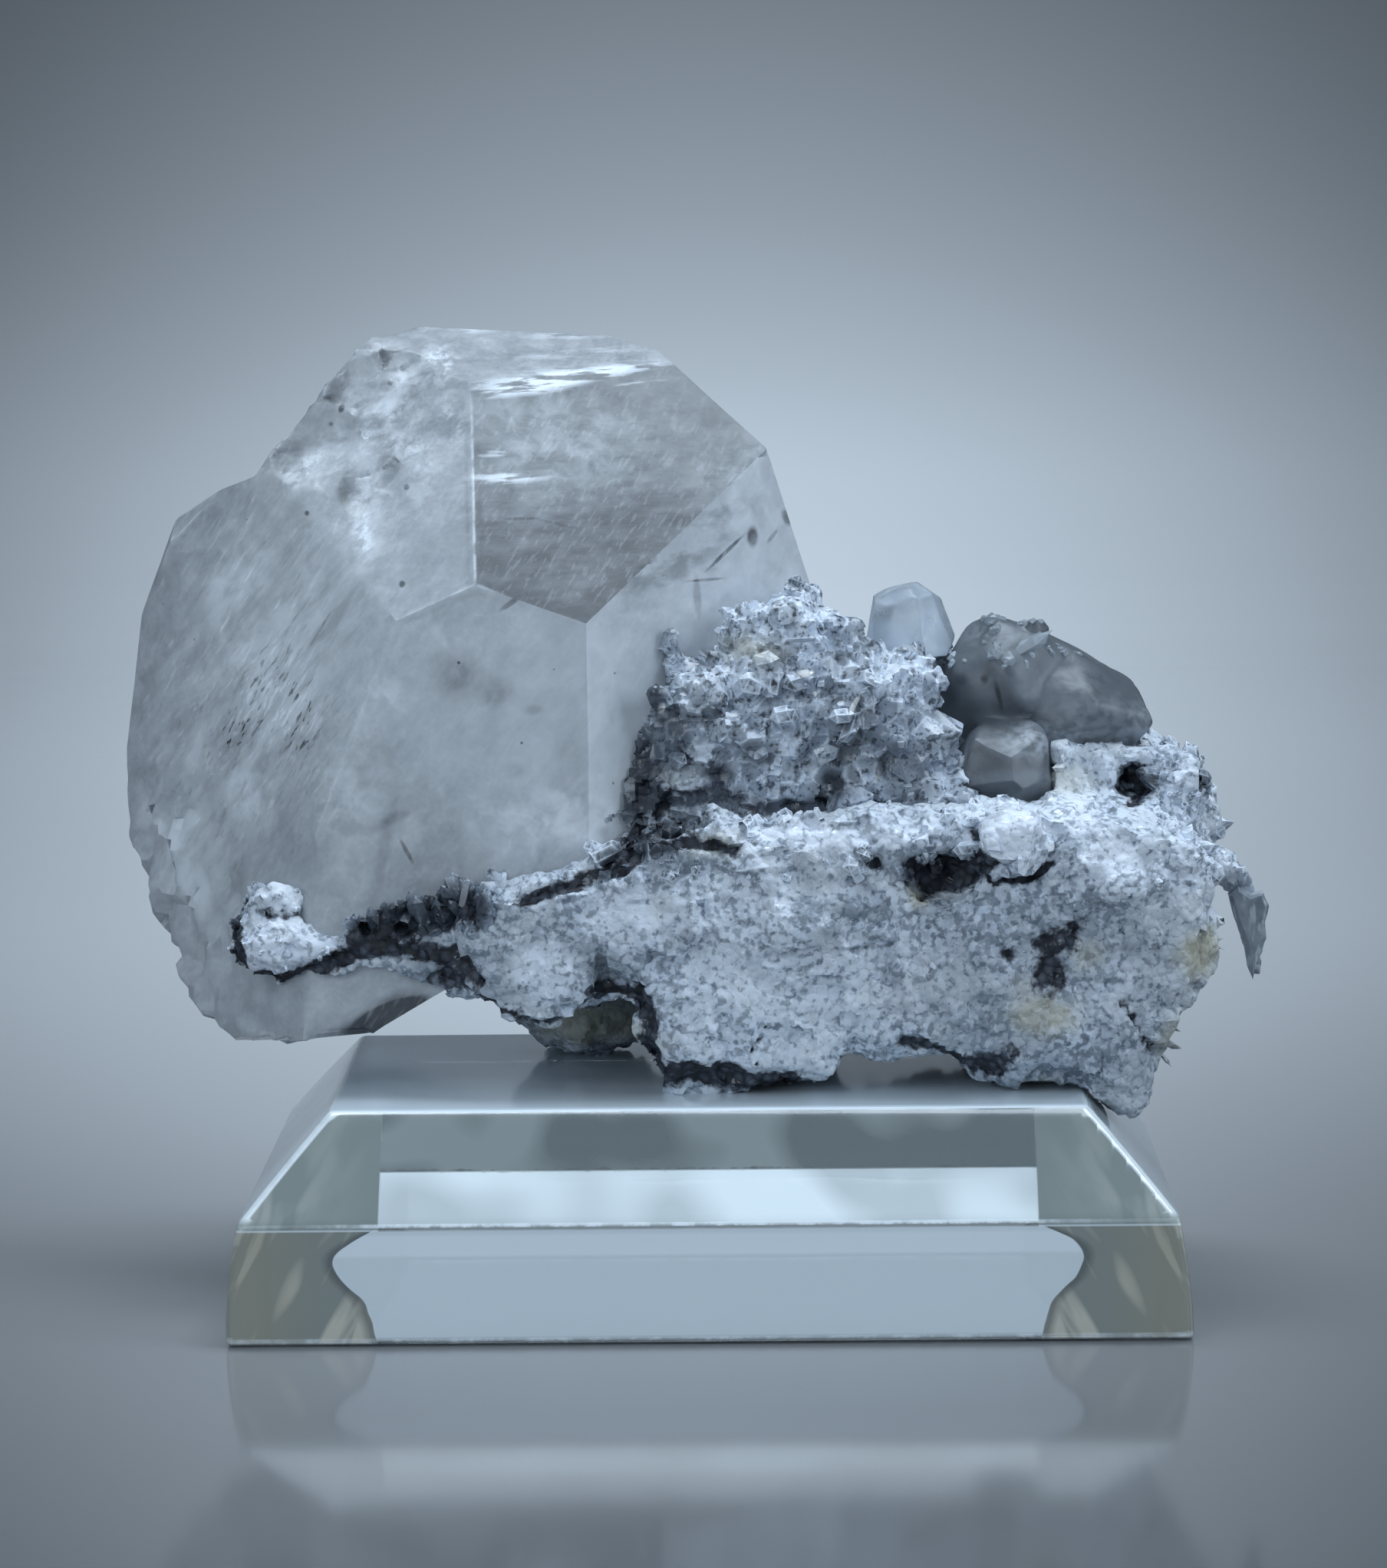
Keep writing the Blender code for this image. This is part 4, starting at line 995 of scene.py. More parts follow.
# Painted shade in pits and hollows, as dark blots: centre (X, Z), radii, strength.
SHADE_BLOTS = (
    ((22.6, 47.6), (1.9, 1.3), 0.95),
    ((25.2, 46.4), (3.0, 1.9), 0.95),
    ((17.8, 48.0), (0.9, 0.7), 0.9),
    ((36.6, 39.4), (1.6, 1.8), 0.75),
    ((38.4, 40.2), (2.0, 1.8), 0.8),
    ((36.8, 36.4), (2.0, 2.2), 0.9),
    ((32.2, 38.4), (1.2, 1.0), 0.75),
    ((46.9, 55.4), (2.0, 1.7), 1.0),
    ((29.6, 26.6), (3.4, 1.6), 0.85),
    ((32.6, 28.0), (1.0, 1.6), 0.7),
    ((22.2, 28.8), (1.0, 0.8), 0.9),
    ((54.6, 55.8), (1.0, 1.8), 0.7),
    ((-1.6, 25.4), (4.0, 1.1), 0.9),
    ((-51.6, 34.9), (1.4, 0.6), 0.9),
    ((-27.0, 36.6), (3.0, 1.8), 0.75),
    ((-24.0, 33.4), (1.4, 1.2), 0.7),
    ((-12.6, 34.2), (1.0, 0.8), 0.9),
    ((-9.6, 48.6), (1.0, 0.8), 0.8),
    ((-20.4, 44.6), (0.5, 1.0), 0.9),
    ((12.5, 44.0), (0.5, 0.5), 0.5),
)
# Slate grey, ochre and snow-white areas, given like the dark blots.
SLATE_BLOTS = (
    ((37.4, 38.0), (6.4, 6.0), 0.45),
    ((31.0, 33.0), (6.0, 4.0), 0.4),
    ((47.0, 40.0), (3.0, 8.0), 0.3),
    ((16.0, 42.0), (3.0, 2.4), 0.35),
    ((27.0, 36.0), (6.0, 5.0), 0.4),
    ((31.0, 30.0), (4.0, 4.0), 0.6),
    ((26.0, 33.0), (3.0, 3.0), 0.5),
    ((-12.0, 38.6), (4.0, 3.0), 0.5),
    ((-11.0, 36.4), (3.4, 1.4), 0.7),
    ((-29.0, 36.6), (3.6, 2.4), 0.9),
    ((-33.0, 40.6), (6.6, 0.8), 0.8),
    ((-24.0, 36.4), (3.0, 4.0), 0.5),
    ((36.0, 26.0), (9.0, 2.6), 0.5),
    ((45.6, 27.0), (4.0, 5.0), 0.45),
    ((24.0, 48.4), (5.0, 2.2), 0.8),
    ((19.0, 48.6), (3.0, 1.6), 0.6),
    ((38.0, 46.4), (1.6, 2.0), 0.5),
    ((55.0, 50.0), (4.0, 8.0), 0.3),
    ((50.0, 57.0), (3.0, 2.4), 0.4),
    ((-4.6, 49.0), (5.0, 1.4), 0.7),
)
OCHRE_BLOTS = (
    ((22.6, 44.8), (1.5, 1.1), 0.8),
    ((36.0, 32.0), (3.6, 2.2), 0.7),
    ((33.6, 34.6), (1.6, 1.6), 0.3),
    ((40.6, 38.0), (1.8, 1.6), 0.4),
    ((38.6, 56.0), (3.6, 1.4), 0.45),
    ((53.0, 38.4), (2.4, 2.4), 0.9),
    ((50.0, 28.6), (1.4, 2.8), 0.6),
    ((35.6, 24.0), (2.6, 0.8), 0.4),
    ((-12.5, 28.4), (6.6, 2.4), 0.9),
    ((1.0, 50.6), (3.0, 1.4), 0.5),
)
SNOW_BLOTS = (
    ((-46.2, 38.8), (4.4, 3.4), 0.75),
    ((-45.6, 44.0), (2.0, 2.0), 0.5),
    ((-17.0, 37.0), (3.4, 2.6), 0.7),
    ((-9.0, 42.6), (3.4, 3.4), 0.7),
    ((14.0, 51.4), (14.0, 1.1), 0.9),
    ((33.0, 50.6), (3.6, 3.0), 1.0),
    ((44.0, 47.0), (6.0, 4.0), 0.5),
    ((39.4, 53.0), (2.6, 3.0), 0.6),
    ((51.6, 54.0), (2.4, 3.4), 0.6),
    ((2.0, 36.0), (8.0, 9.0), 0.45),
    ((13.0, 34.0), (8.0, 6.0), 0.3),
    ((54.0, 46.0), (4.0, 8.0), 0.35),
)
# Round smooth quartz grains, and a white lump: centre (X, Z), radii, height.
ROUND_GRAINS = (
    ((10.8, 43.7), (1.9, 1.3), 0.7),
    ((15.7, 43.6), (1.2, 1.1), 0.5),
    ((13.5, 41.4), (1.1, 0.9), 0.4),
    ((-2.0, 41.0), (1.0, 0.9), 0.4),
    ((46.4, 32.0), (0.8, 0.8), 0.5),
    ((43.0, 27.4), (0.9, 0.8), 0.5),
    ((20.0, 36.6), (1.3, 1.2), 0.4),
    ((38.6, 50.0), (1.7, 1.3), 0.8),
    ((41.0, 44.6), (1.0, 0.8), 0.4),
)
LUMP = ((32.9, 50.4), (3.9, 3.5), 1.9)
# White knobs of sugary quartz at the matrix's left end: centre, radii.
TUFTS = (
    ((-46.4, -13.6, 39.0), (5.2, 3.6, 3.6)),
    ((-47.0, -13.0, 43.0), (3.2, 2.6, 3.0)),
    ((-46.8, -13.2, 41.0), (4.0, 3.0, 2.6)),
    ((-42.6, -15.2, 38.6), (3.4, 2.2, 2.0)),
)
# The splinter's part of the matrix, which stays smooth: centre, radii.
SPLINTER = ((59.3, -8.4, 39.0), (3.4, 4.0, 6.6))


def dome(places, centre, radii):
    """Height from 0 to 1 of a round swelling seen from the viewer's side."""
    away = np.hypot((places[:, 0] - centre[0]) / radii[0], (places[:, 2] - centre[1]) / radii[1])
    return np.sqrt(np.clip(1.0 - away ** 2.0, 0.0, 1.0)) * front_only(places)


def flat_blot(places, centre, radii, soft=0.45):
    """1 inside an ellipse seen from the viewer's side, at any depth."""
    away = np.hypot((places[:, 0] - centre[0]) / radii[0], (places[:, 2] - centre[1]) / radii[1])
    return np.clip((1.0 + soft - away) / (2.0 * soft), 0.0, 1.0)


def flat_blots(places, blots, wobble, salt):
    """The strongest of several blots at each point, with ragged outlines."""
    ragged = places + (layered_noise(places, wobble, salt)[:, None] - 0.5) * wobble * 1.1
    mark = np.zeros(len(places))
    for centre, radii, strength in blots:
        mark = np.maximum(mark, flat_blot(ragged, centre, radii) * strength)
    return mark


def front_only(places):
    """1 on the viewer's half of the matrix and 0 behind it."""
    return np.clip((2.0 - places[:, 1]) / 8.0, 0.0, 1.0)


# Painted shade in the matrix's hollows, cracks and crevices on the viewer's side, and random darker hollows
# behind.
def matrix_dirt(places):
    ragged = places + (layered_noise(places, 2.2, 71)[:, None] - 0.5) * 2.2
    dark = flat_blots(places, SHADE_BLOTS, 2.2, 71)
    for path, width, strength in SHADE_BANDS:
        dark = np.maximum(dark, band(ragged, path, width) * strength)
    dark *= front_only(places)
    behind = (1.0 - front_only(places)) * np.clip(layered_noise(places, 9.0, 81) * 5.0 - 2.9, 0.0, 0.8)
    return np.maximum(dark, behind)


def matrix_slate(places):
    return flat_blots(places, SLATE_BLOTS, 2.4, 77)


def matrix_ochre(places):
    return flat_blots(places, OCHRE_BLOTS, 2.0, 75)


def matrix_snow(places):
    """Where the matrix is cleanest and whitest."""
    return flat_blots(places, SNOW_BLOTS, 2.0, 79)


def make_matrix():
    piece = copy_of("quartz_matrix", "quartz_matrix_rock")
    for centre, radii in TUFTS:
        bpy.ops.object.select_all(action="DESELECT")
        bpy.ops.mesh.primitive_ico_sphere_add(subdivisions=4, radius=MM)
        bpy.ops.object.mode_set(mode="EDIT")
        bpy.ops.transform.resize(value=radii)
        bpy.ops.transform.translate(value=[part * MM for part in centre])
        leave_edit()
        piece.select_set(True)
        bpy.context.view_layer.objects.active = piece
        bpy.ops.object.join()
    apply_modifier(piece, "REMESH", mode="VOXEL", voxel_size=0.5 * MM)
    places, normals = points_of(piece)
    calm = 1.0 - 0.8 * blot(places, *SPLINTER, 0.2)
    broad = (layered_noise(places, 6.0, 91) - 0.5) * 1.5
    coarse, _, _ = facet_push(places, 2.8, 0.12, 0.03, 100)
    move_points(piece, places + normals * ((broad + coarse) * calm)[:, None])
    places, normals = points_of(piece)
    fine, tone, _ = facet_push(places, 1.3, 0.12, 0.04, 200)
    fine = fine * 0.7 + (layered_noise(places, 1.8, 205) - 0.5) * 0.35
    # The hollows are pushed in, and their painted shade is kept on the points.
    dirt = matrix_dirt(places)
    hollow = dirt * (0.3 + 1.3 * layered_noise(places, 1.6, 83)) * 0.75
    push = (fine - hollow) * calm
    smooth = np.zeros(len(places))
    for centre, radii, height in ROUND_GRAINS:
        swelling = dome(places, centre, radii)
        smooth = np.maximum(smooth, np.clip(swelling * 3.0, 0.0, 1.0))
        push += swelling * height
    lump = dome(places + (layered_noise(places, 2.0, 87)[:, None] - 0.5) * 1.8, *LUMP[:2]) ** 0.6
    rough = fine * 2.4 + (layered_noise(places, 1.1, 89) - 0.5) * 1.6
    push = push * (1.0 - 0.3 * smooth) + lump * (LUMP[2] - 0.3 + rough)
    move_points(piece, places + normals * push[:, None])
    paint(piece, "grain", tone * calm)
    paint(piece, "dirt", dirt)
    paint(piece, "ochre", matrix_ochre(places))
    slate = matrix_slate(places) * front_only(places)
    paint(piece, "slate", np.maximum(np.maximum(slate, 1.0 - calm), smooth * 0.8))
    paint(piece, "snow", matrix_snow(places))
    shade(piece, 50.0)
    wear(piece, "quartz_matrix", matrix_finish())
    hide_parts("quartz_matrix")
    make_splinter()
    return places, normals


def quartz_template():
    """Six-sided crystal with a chisel tip and half width 1, as points, faces and edge marks."""
    shape = bmesh.new()
    ring = [(math.cos(math.pi * i / 3.0), math.sin(math.pi * i / 3.0)) for i in range(6)]
    foot = [shape.verts.new((*spot, -2.0)) for spot in ring]
    rim = [shape.verts.new((*spot, height)) for spot, height in zip(ring, (1.2, 0.7, 1.1, 0.9, 1.3, 0.6))]
    tips = [shape.verts.new(place) for place in ((-0.45, 0.1, 1.6), (0.4, -0.1, 1.85))]
    for i in range(6):
        j = (i + 1) % 6
        shape.faces.new((foot[i], foot[j], rim[j], rim[i]))
    for i, j, tip in ((0, 1, 1), (2, 3, 0), (3, 4, 0), (5, 0, 1)):
        shape.faces.new((rim[i], rim[j], tips[tip]))
    shape.faces.new((rim[1], rim[2], tips[0], tips[1]))
    shape.faces.new((rim[4], rim[5], tips[1], tips[0]))
    corners = len(shape.verts)
    bmesh.ops.poke(shape, faces=shape.faces[:])
    shape.verts.index_update()
    points = np.array([vertex.co[:] for vertex in shape.verts])
    faces = np.array([[vertex.index for vertex in face.verts] for face in shape.faces])
    marks = np.ones(len(points))
    marks[corners:] = 0.0
    shape.free()
    return points, faces, marks


class Druse:
    """Many small quartz crystals gathered into one mesh."""

    def __init__(self, seed):
        self.draw = random.Random(seed)
        self.points, self.faces, self.marks = quartz_template()
        self.placed = []
        self.tones = []
        self.lines = []

    def add(self, spot, axis, width, reach, turn=None, sink=0.55, tone=None, line=1.0):
        """A crystal whose tip points along the axis; width is its half width."""
        axis = Vector(axis).normalized()
        spin = self.draw.uniform(0.0, math.pi) if turn is None else turn
        frame_turn = np.array(axis.to_track_quat("Z", "Y").to_matrix() @ Matrix.Rotation(spin, 3, "Z"))
        scale = np.array((width, width * self.draw.uniform(0.6, 1.0), reach))
        lean = np.outer(self.points[:, 2], (self.draw.uniform(-0.3, 0.3), self.draw.uniform(-0.3, 0.3), 0.0))
        crystal = ((self.points + lean) * scale) @ frame_turn.T + np.array(spot)
        self.placed.append(crystal - np.array(axis) * reach * sink)
        self.tones.append(self.draw.random() if tone is None else tone)
        self.lines.append(line)

    def scatter(self, places, normals, here, count, widths, reaches, lean, line=1.0):
        """Crystals at some of a surface's points, where it says here, roughly along its normals."""
        chosen = list(np.nonzero(here)[0])
        for index in self.draw.sample(chosen, min(count, len(chosen))):
            tip = [self.draw.uniform(-1.0, 1.0) for _ in range(3)]
            axis = normals[index] + lean * np.array(tip)
            size = self.draw.random() ** 2.0
            width = widths[0] + (widths[1] - widths[0]) * size
            self.add(places[index], axis, width, width * self.draw.uniform(*reaches), line=line)

    def finish(self, name, finish, slot, **marks):
        """Join the crystals into one piece, with further marks worked out from its points."""
        count = len(self.points)
        joined = np.concatenate(self.placed)
        faces = np.concatenate([self.faces + count * i for i in range(len(self.placed))])
        mesh = bpy.data.meshes.new(name)
        mesh.from_pydata((joined * MM).tolist(), [], faces.tolist())
        piece = add_object(name, mesh)
        paint(piece, "grain", np.repeat(self.tones, count))
        paint(piece, "edge", np.outer(self.lines, self.marks).ravel())
        for mark, values in marks.items():
            paint(piece, mark, values(joined))
        shade(piece)
        wear(piece, slot, finish)
        return piece


# Marks on the crust, the first of them painted shade in its hollows and at its foot: centre (X, Z), radii,
# strength.
CRUST_HOLLOW_SHADE = (
    ((-7.6, 58.6), (3.2, 3.8), 0.75),
    ((-4.0, 60.6), (2.4, 3.6), 0.5),
    ((1.4, 57.0), (1.8, 1.6), 0.7),
    ((9.0, 53.4), (5.4, 1.1), 0.85),
    ((13.8, 56.2), (1.6, 1.5), 0.7),
    ((-5.4, 66.4), (1.4, 3.4), 0.6),
    ((5.8, 59.4), (2.6, 2.0), 0.45),
    ((-6.0, 54.4), (4.0, 2.2), 0.7),
    ((0.0, 54.6), (6.0, 1.6), 0.6),
    ((18.0, 61.0), (7.0, 6.0), 0.3),
    ((22.0, 57.0), (3.0, 6.0), 0.4),
)
CRUST_FROST = (
    ((4.0, 66.8), (5.6, 2.8), 0.75),
    ((7.6, 60.4), (2.8, 5.4), 0.85),
    ((19.4, 67.6), (4.2, 2.4), 0.7),
    ((8.0, 73.4), (5.0, 3.0), 0.65),
    ((1.6, 69.6), (4.0, 1.6), 0.5),
    ((17.0, 52.4), (10.0, 1.0), 0.7),
)
CRUST_OCHRE = (
    ((3.6, 70.6), (5.0, 1.2), 0.6),
    ((-5.0, 57.2), (5.0, 1.0), 0.35),
)
# Crystals grow on the crust above this height.
CRUST_FOOT = 52.4
# Big smooth crystals at the crust's right: place, axis, half width, reach.
SMOOTH_CRYSTALS = (
    ((24.6, -9.6, 61.4), (0.5, -1.0, 0.3), 2.7, 2.4),
    ((26.0, -8.6, 58.4), (0.7, -1.0, 0.1), 2.4, 2.0),
    ((21.6, -12.0, 58.6), (0.1, -1.0, 0.2), 2.3, 1.6),
    ((22.6, -11.6, 55.4), (0.3, -1.0, -0.1), 2.1, 1.5),
    ((15.7, -14.4, 53.9), (0.2, -1.0, -0.2), 2.3, 1.4),
    ((19.6, -13.2, 55.2), (-0.2, -1.0, 0.1), 1.9, 1.4),
    ((13.0, -13.6, 59.6), (0.2, -1.0, 0.3), 1.7, 1.3),
    ((10.2, -13.4, 67.6), (0.2, -1.0, 0.4), 1.9, 1.5),
    ((6.4, -12.8, 69.2), (-0.3, -1.0, 0.4), 1.8, 1.4),
)


# Painted shade in the crust's hollows, on the viewer's side.
def crust_dirt(places):
    return flat_blots(places, CRUST_HOLLOW_SHADE, 1.8, 301) * front_only(places)


def crust_frost(places):
    general = np.clip(layered_noise(places, 5.0, 311) * 2.2 - 1.0, 0.0, 0.45)
    return np.maximum(general, flat_blots(places, CRUST_FROST, 1.6, 303))


def crust_ochre(places):
    return flat_blots(places, CRUST_OCHRE, 1.6, 305) * front_only(places)


def make_crust():
    base = copy_of("quartz_crust", "quartz_crust_bed")
    apply_modifier(base, "REMESH", mode="VOXEL", voxel_size=0.36 * MM)
    places, normals = points_of(base)
    coarse, tone, seam = facet_push(places, 2.1, 0.45, -0.12, 300)
    # The crust's hollows are pushed in, and their painted shade is kept on the points.
    dirt = crust_dirt(places)
    move_points(base, places + normals * (coarse + 0.15 - dirt * 0.6)[:, None])
    paint(base, "grain", tone)
    paint(base, "edge", np.clip(1.0 - seam / 0.26, 0.0, 1.0) ** 0.4)
    paint(base, "dirt", dirt)
    paint(base, "frost", crust_frost(places))
    paint(base, "ochre", crust_ochre(places))
    shade(base, 24.0)
    finish = crust_finish()
    wear(base, "quartz_crust", finish)
    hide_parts("quartz_crust")

    druse = Druse(23)
    grown = places[:, 2] > CRUST_FOOT
    druse.scatter(places, normals, grown, 70, (0.7, 1.7), (0.3, 0.6), 0.5)
    druse.scatter(places, normals, grown & (normals[:, 2] > 0.35), 90, (0.4, 1.0), (0.6, 1.2), 0.6)
    for spot, axis, width, reach in SMOOTH_CRYSTALS:
        druse.add(spot, axis, width, 0.7 * reach, 0.4, 0.7, 0.45, 0.6)
    druse.add((2.4, -12.6, 62.1), (0.2, -1.0, 0.1), 2.5, 1.3, math.radians(30.0), 0.3, 0.9, 0.5)
    druse.add((8.4, -14.6, 63.7), (-0.1, -1.0, 0.25), 1.45, 1.0, 0.3, 0.5, 0.0)
    druse.add((14.8, -14.4, 63.8), (0.3, -1.0, 0.4), 1.5, 1.2, 0.1, 0.5, 0.6)
    # The crystals get the crust's painted shade, frost and ochre.
    druse.finish("quartz_crystals", finish, "quartz_crust",
                 dirt=crust_dirt, frost=crust_frost, ochre=crust_ochre)
    return finish


# Brown splintery plates at the matrix's right end: place, axis, half width, reach.
SPIKES = (
    ((52.4, -13.6, 40.4), (1.0, -0.2, -0.15), 0.55, 1.7),
    ((53.0, -13.4, 39.2), (1.0, 0.0, -0.5), 0.6, 1.9),
    ((52.6, -13.6, 38.0), (0.9, -0.2, -0.8), 0.55, 1.7),
    ((52.0, -14.0, 36.8), (0.4, -0.2, -1.0), 0.5, 1.6),
    ((53.2, -13.2, 36.6), (0.3, 0.0, -1.0), 0.45, 1.5),
    ((53.8, -13.0, 38.6), (1.0, 0.1, 0.2), 0.5, 1.2),
    ((51.4, -14.0, 35.0), (0.3, 0.0, -1.0), 0.5, 1.3),
    ((49.4, -14.2, 30.0), (0.9, 0.0, -0.5), 0.4, 1.1),
    ((49.2, -14.2, 28.0), (0.9, 0.0, -0.4), 0.45, 1.2),
    ((48.8, -14.4, 26.8), (0.8, 0.0, -0.9), 0.4, 1.2),
)
# Boxes, as their low and high corners, of the matrix's parts that small crystals stand on.
RIM_BOX = ((-39.0, -FAR, 41.0), (-22.0, -9.0, FAR))
LEDGE_BOX = ((-12.0, -FAR, 47.0), (30.0, -12.0, 55.0))
RIGHT_BOX = ((48.0, -FAR, 46.0), (FAR, 6.0, 60.0))
TUFT_BOX = ((-FAR, -FAR, 37.0), (-41.0, FAR, FAR))


def matrix_frost(places):
    """How frosted the small crystals on the matrix are."""
    return np.clip(0.8 + matrix_snow(places) - 1.6 * matrix_slate(places) - 2.0 * matrix_dirt(places), 0.0, 1.0)


def make_rim(places, normals, finish):
    """Small crystals that stand along the matrix's upper rim, its edges and its right end."""
    druse = Druse(41)
    rim = within(places, *RIM_BOX) & (normals[:, 2] > 0.15)
    druse.scatter(places, normals + (0.0, 0.0, 0.6), rim, 60, (0.45, 1.1), (0.8, 1.3), 0.7, 0.6)
    druse.scatter(places, normals, within(places, *LEDGE_BOX), 110, (0.35, 1.2), (0.5, 1.0), 0.7)
    druse.scatter(places, normals, within(places, *RIGHT_BOX), 90, (0.35, 1.1), (0.6, 1.4), 0.7)
    for spot, axis, width, reach in SPIKES:
        druse.add(spot, axis, width, reach, sink=0.1)
    druse.scatter(places, normals, within(places, *TUFT_BOX), 50, (0.3, 0.7), (0.5, 0.9), 0.7)
    # Small crystals standing in the hollows get the painted shade too, a little weaker.
    druse.finish("quartz_grains", finish, "quartz_matrix",
                 dirt=lambda spots: matrix_dirt(spots) * 0.72, frost=matrix_frost, ochre=matrix_ochre)


# Outline of the splinter that hangs at the matrix's right end, as (X, Z) points, and its depth.
SPLINTER_OUTLINE = (
    (56.5, 43.4), (57.6, 44.3), (59.0, 43.4), (60.3, 43.7), (60.9, 42.2), (60.5, 40.4),
    (60.7, 38.6), (59.8, 36.6), (59.2, 34.0), (58.6, 35.6), (58.2, 38.2), (57.3, 40.6),
)
SPLINTER_DEPTH = (-10.2, -8.8)


def make_splinter():
    """Smooth grey blade, pointed at its foot."""
    near, far = SPLINTER_DEPTH
    mesh = bpy.data.meshes.new("quartz_splinter")
    corners = [(x * MM, near * MM, z * MM) for x, z in SPLINTER_OUTLINE]
    mesh.from_pydata(corners, [], [range(len(corners))])
    piece = add_object("quartz_splinter", mesh)
    edit(piece)
    bpy.ops.mesh.extrude_region_move(TRANSFORM_OT_translate={"value": (0.0, (far - near) * MM, 0.0)})
    bpy.ops.mesh.select_all(action="SELECT")
    bpy.ops.mesh.normals_make_consistent(inside=False)
    leave_edit()
    shape = bmesh.new()
    shape.from_mesh(piece.data)
    flat = [face for face in shape.faces if len(face.verts) > 4]
    bmesh.ops.inset_individual(shape, faces=flat, thickness=0.5 * MM, depth=0.35 * MM)
    bmesh.ops.triangulate(shape, faces=shape.faces[:])
    shape.to_mesh(piece.data)
    shape.free()
    slice_up(piece, 0.6 * MM)
    ripple(piece, 1.6, 501, 0.4)
    shade(piece, 30.0)
    wear(piece, "quartz_matrix", splinter_finish())


def make_stand():
    piece = copy_of("acrylic_stand", "clear_stand", flat_faces=True)
    edges = sharp_edges(piece, 15.0)
    places, _ = bevel_and_slice(piece, 0.3, 3, 20.0, 1.6)
    paint(piece, "edge_way", distance_to(places, edges))
    x, y, z = places.T
    low = np.clip((STAND_TOP - z) / (STAND_TOP - STAND_SHOULDER), 0.0, 1.0)
    bulge = np.where(z < STAND_SHOULDER, (z / STAND_SHOULDER) ** 2.0, low) * 1.2
    x = x - np.sign(x) * bulge * np.clip((np.abs(x) - 30.0) / 20.0, 0.0, 1.0)
    wave = (layered_noise(places, 7.0, 401) - 0.5) * 0.5
    wave = wave * np.clip((np.abs(places[:, 0]) - 44.0) / 6.0, 0.0, 1.0)
    x = x + wave * np.clip((STAND_SHOULDER + 1.0 - z) / 3.0, 0.0, 1.0)
    move_points(piece, np.stack([x, y, z], axis=1))
    shade(piece, 25.0)
    wear(piece, "acrylic_stand", acrylic_finish())
    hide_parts("acrylic_stand")


# Stage, light and camera


# The stage in metres: it lies a little under the stand, so that the two faces don't flicker.
FLOOR_GAP = 0.0002
FLOOR_FRONT = -1.6
FLOOR_BACK = 0.75
BEND_RADIUS = 0.5
BEND_STEPS = 12
WALL_TOP = 2.4
STAGE_HALF = 2.2
# How the painted shade on the stage runs, in millimetres: the wall's dark band ends at one height and it
# darkens again above another; the floor dims nearer than two distances, and both dim away from a middle line.
WALL_FADE = 110.0
BAND_TOP = 340.0
PALE_TOP = 430.0
FRONT_START = 330.0
NEAR_START = 1000.0
NEAR_FADE = 2400.0
SIDE_MIDDLE = -14.0
SIDE_FADE = 50000.0

# Lamps: name, place, aim, size and watts, with places and sizes in metres.
LAMPS = (
    ("overhead", (0.05, 0.12, 0.85), (0.0, 0.0, 0.05), (0.7, 0.26), 5.4),
    ("front", (-0.5, -0.9, 0.5), (0.0, 0.0, 0.06), (0.7, 0.7), 3.8),
    ("side", (0.9, -0.35, 0.45), (0.0, 0.0, 0.06), (0.6, 0.6), 4.0),
    ("wall", (-0.02, 0.45, 0.75), (0.0, 1.2, 0.2), (0.5, 0.2), 3.35),
)
LAMP_COLOUR = (0.76, 0.88, 1.0)
ROOM_COLOUR = (0.4, 0.475, 0.56, 1.0)
ROOM_STRENGTH = 0.62


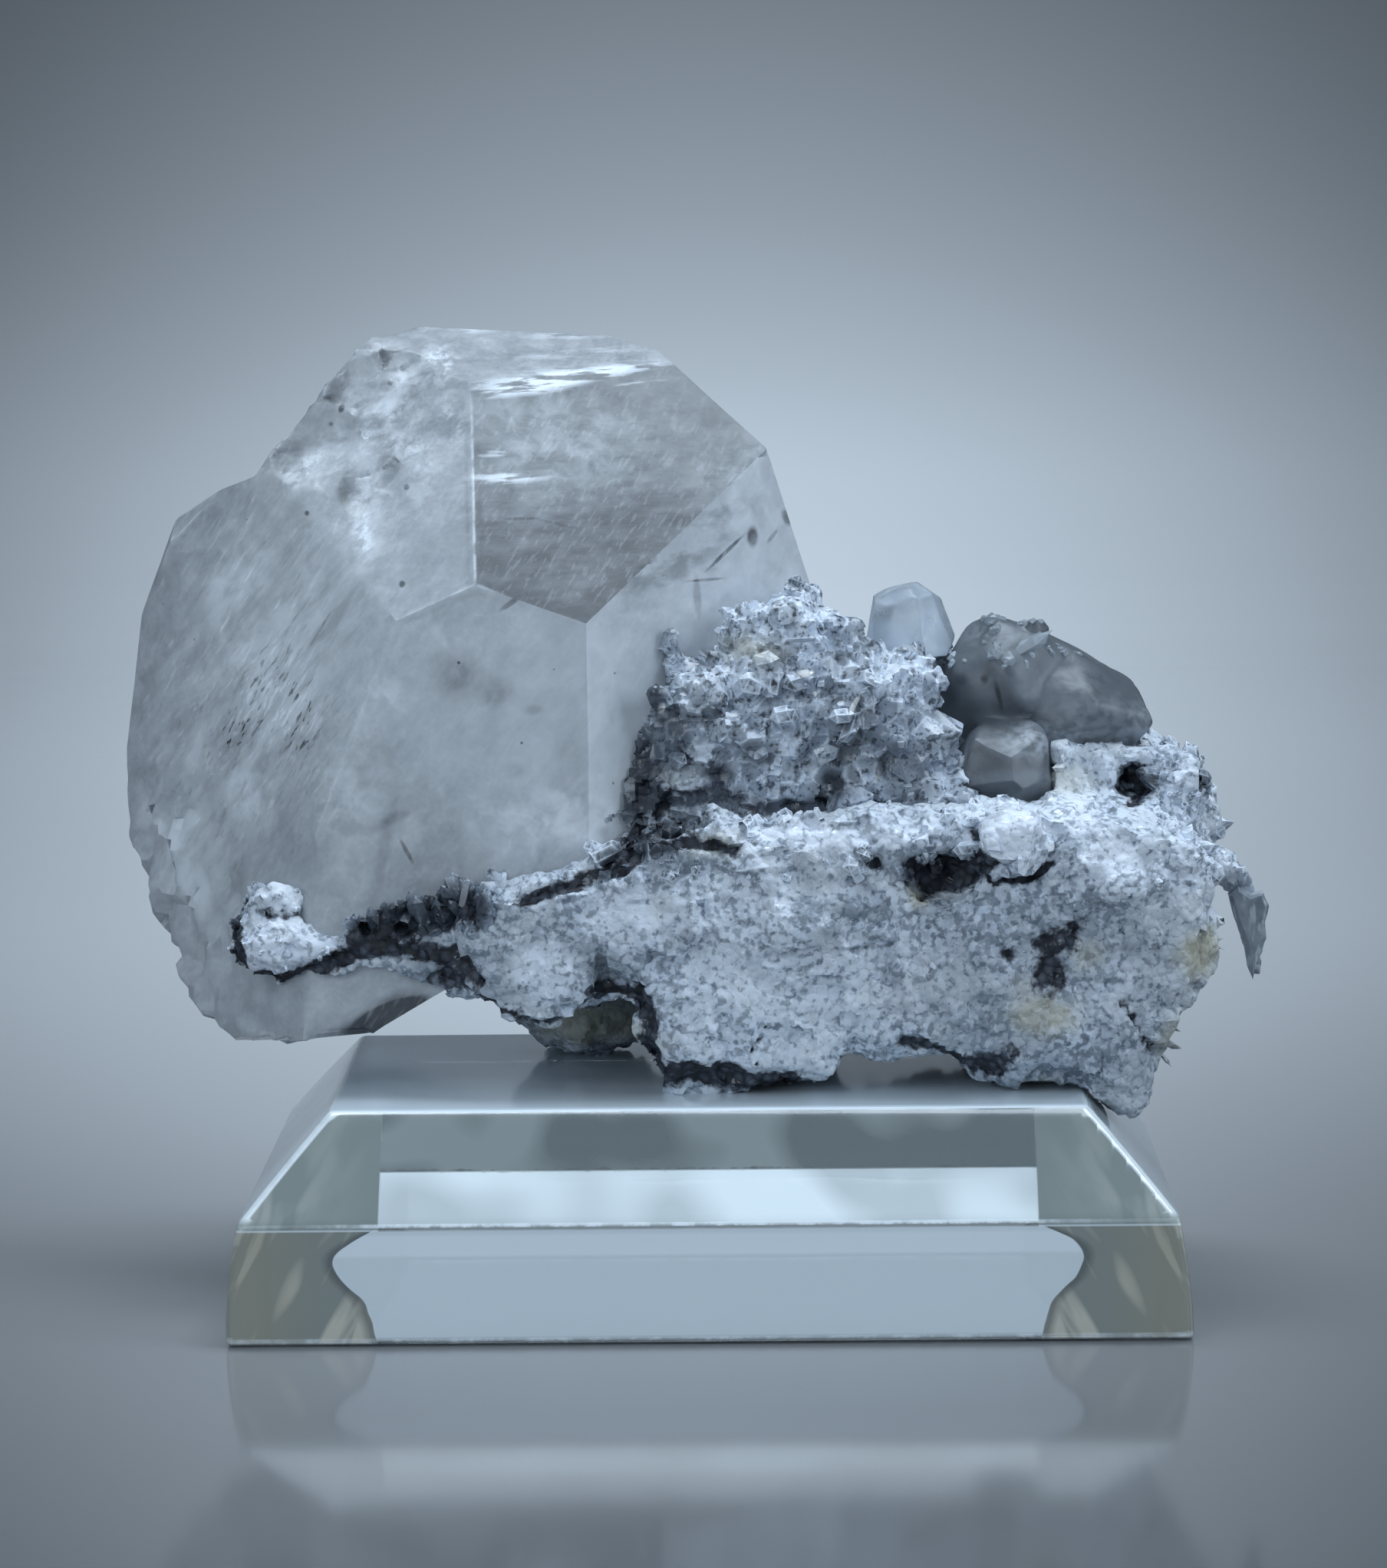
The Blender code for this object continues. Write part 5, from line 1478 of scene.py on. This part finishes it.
def make_stage():
    """A glossy floor that curves up into a wall, pale in the middle and dimmed by painted shade towards the
    top, the front and the sides.
    """
    profile = [(FLOOR_FRONT, 0.0), (FLOOR_BACK, 0.0)]
    for step in range(1, BEND_STEPS + 1):
        turn = math.pi / 2.0 * step / BEND_STEPS
        profile.append((FLOOR_BACK + BEND_RADIUS * math.sin(turn), BEND_RADIUS - BEND_RADIUS * math.cos(turn)))
    profile.append((FLOOR_BACK + BEND_RADIUS, WALL_TOP))
    points = [(side * STAGE_HALF, y, z - FLOOR_GAP) for y, z in profile for side in (-1.0, 1.0)]
    faces = [(2 * i, 2 * i + 1, 2 * i + 3, 2 * i + 2) for i in range(len(profile) - 1)]
    mesh = bpy.data.meshes.new("sweep")
    mesh.from_pydata(points, [], faces)
    sweep = add_object("sweep", mesh)
    shade(sweep, 60.0)
    finish = Finish("sweep")
    across, away, up = finish.parts(finish.place)
    # Painted light: pale in the middle, painted shade up the wall, towards the front and towards the sides.
    height = finish.math("MAXIMUM", finish.math("MINIMUM", up, BAND_TOP - up), 0.0) / WALL_FADE
    height = height + finish.math("MAXIMUM", up - PALE_TOP, 0.0) / WALL_FADE
    front = finish.math("MAXIMUM", FRONT_START - away, 0.0) / FRONT_START
    nearness = front * front * 0.75 + finish.math("MAXIMUM", NEAR_START - away, 0.0) / NEAR_FADE
    beside = across - SIDE_MIDDLE
    sides = beside * beside / SIDE_FADE * (1.0 + 2.0 * nearness)
    painted_light = finish.math("EXPONENT", 0.0 - sides - height - nearness)
    finish.set(Base_Color=finish.mix(painted_light, (0.04, 0.045, 0.05), (0.88, 0.9, 0.92)), Roughness=0.1, IOR=1.215)
    sweep.data.materials.append(finish.material)


def make_light():
    for name, place, aim, size, power in LAMPS:
        lamp = bpy.data.lights.new(name, "AREA")
        lamp.shape = "RECTANGLE"
        lamp.size, lamp.size_y = size
        lamp.energy = power
        lamp.color = LAMP_COLOUR
        made = add_object(name, lamp)
        made.location = place
        made.rotation_euler = (Vector(aim) - Vector(place)).to_track_quat("-Z", "Y").to_euler()
    world = bpy.data.worlds.new("room")
    world.use_nodes = True
    background = world.node_tree.nodes["Background"]
    background.inputs["Color"].default_value = ROOM_COLOUR
    background.inputs["Strength"].default_value = ROOM_STRENGTH
    bpy.context.scene.world = world


def make_camera():
    camera = bpy.data.cameras.new("camera")
    camera.sensor_fit = "VERTICAL"
    camera.sensor_height = FILM_HEIGHT
    camera.lens = LENS
    made = add_object("camera", camera)
    turn = Matrix.Rotation(math.radians(-CAMERA_YAW), 4, "Z")
    turn = turn @ Matrix.Rotation(math.radians(90.0 - CAMERA_PITCH), 4, "X")
    turn = turn @ Matrix.Rotation(math.radians(CAMERA_ROLL), 4, "Z")
    made.matrix_world = Matrix.Translation(Vector(CAMERA_PLACE) * MM) @ turn
    bpy.context.scene.camera = made


make_camera()
make_stand()
make_large_calcite()
make_grey_calcite()
make_small_calcite()
matrix_points = make_matrix()
make_rim(*matrix_points, make_crust())
make_stage()
make_light()
bpy.context.scene.view_settings.view_transform = "Standard"
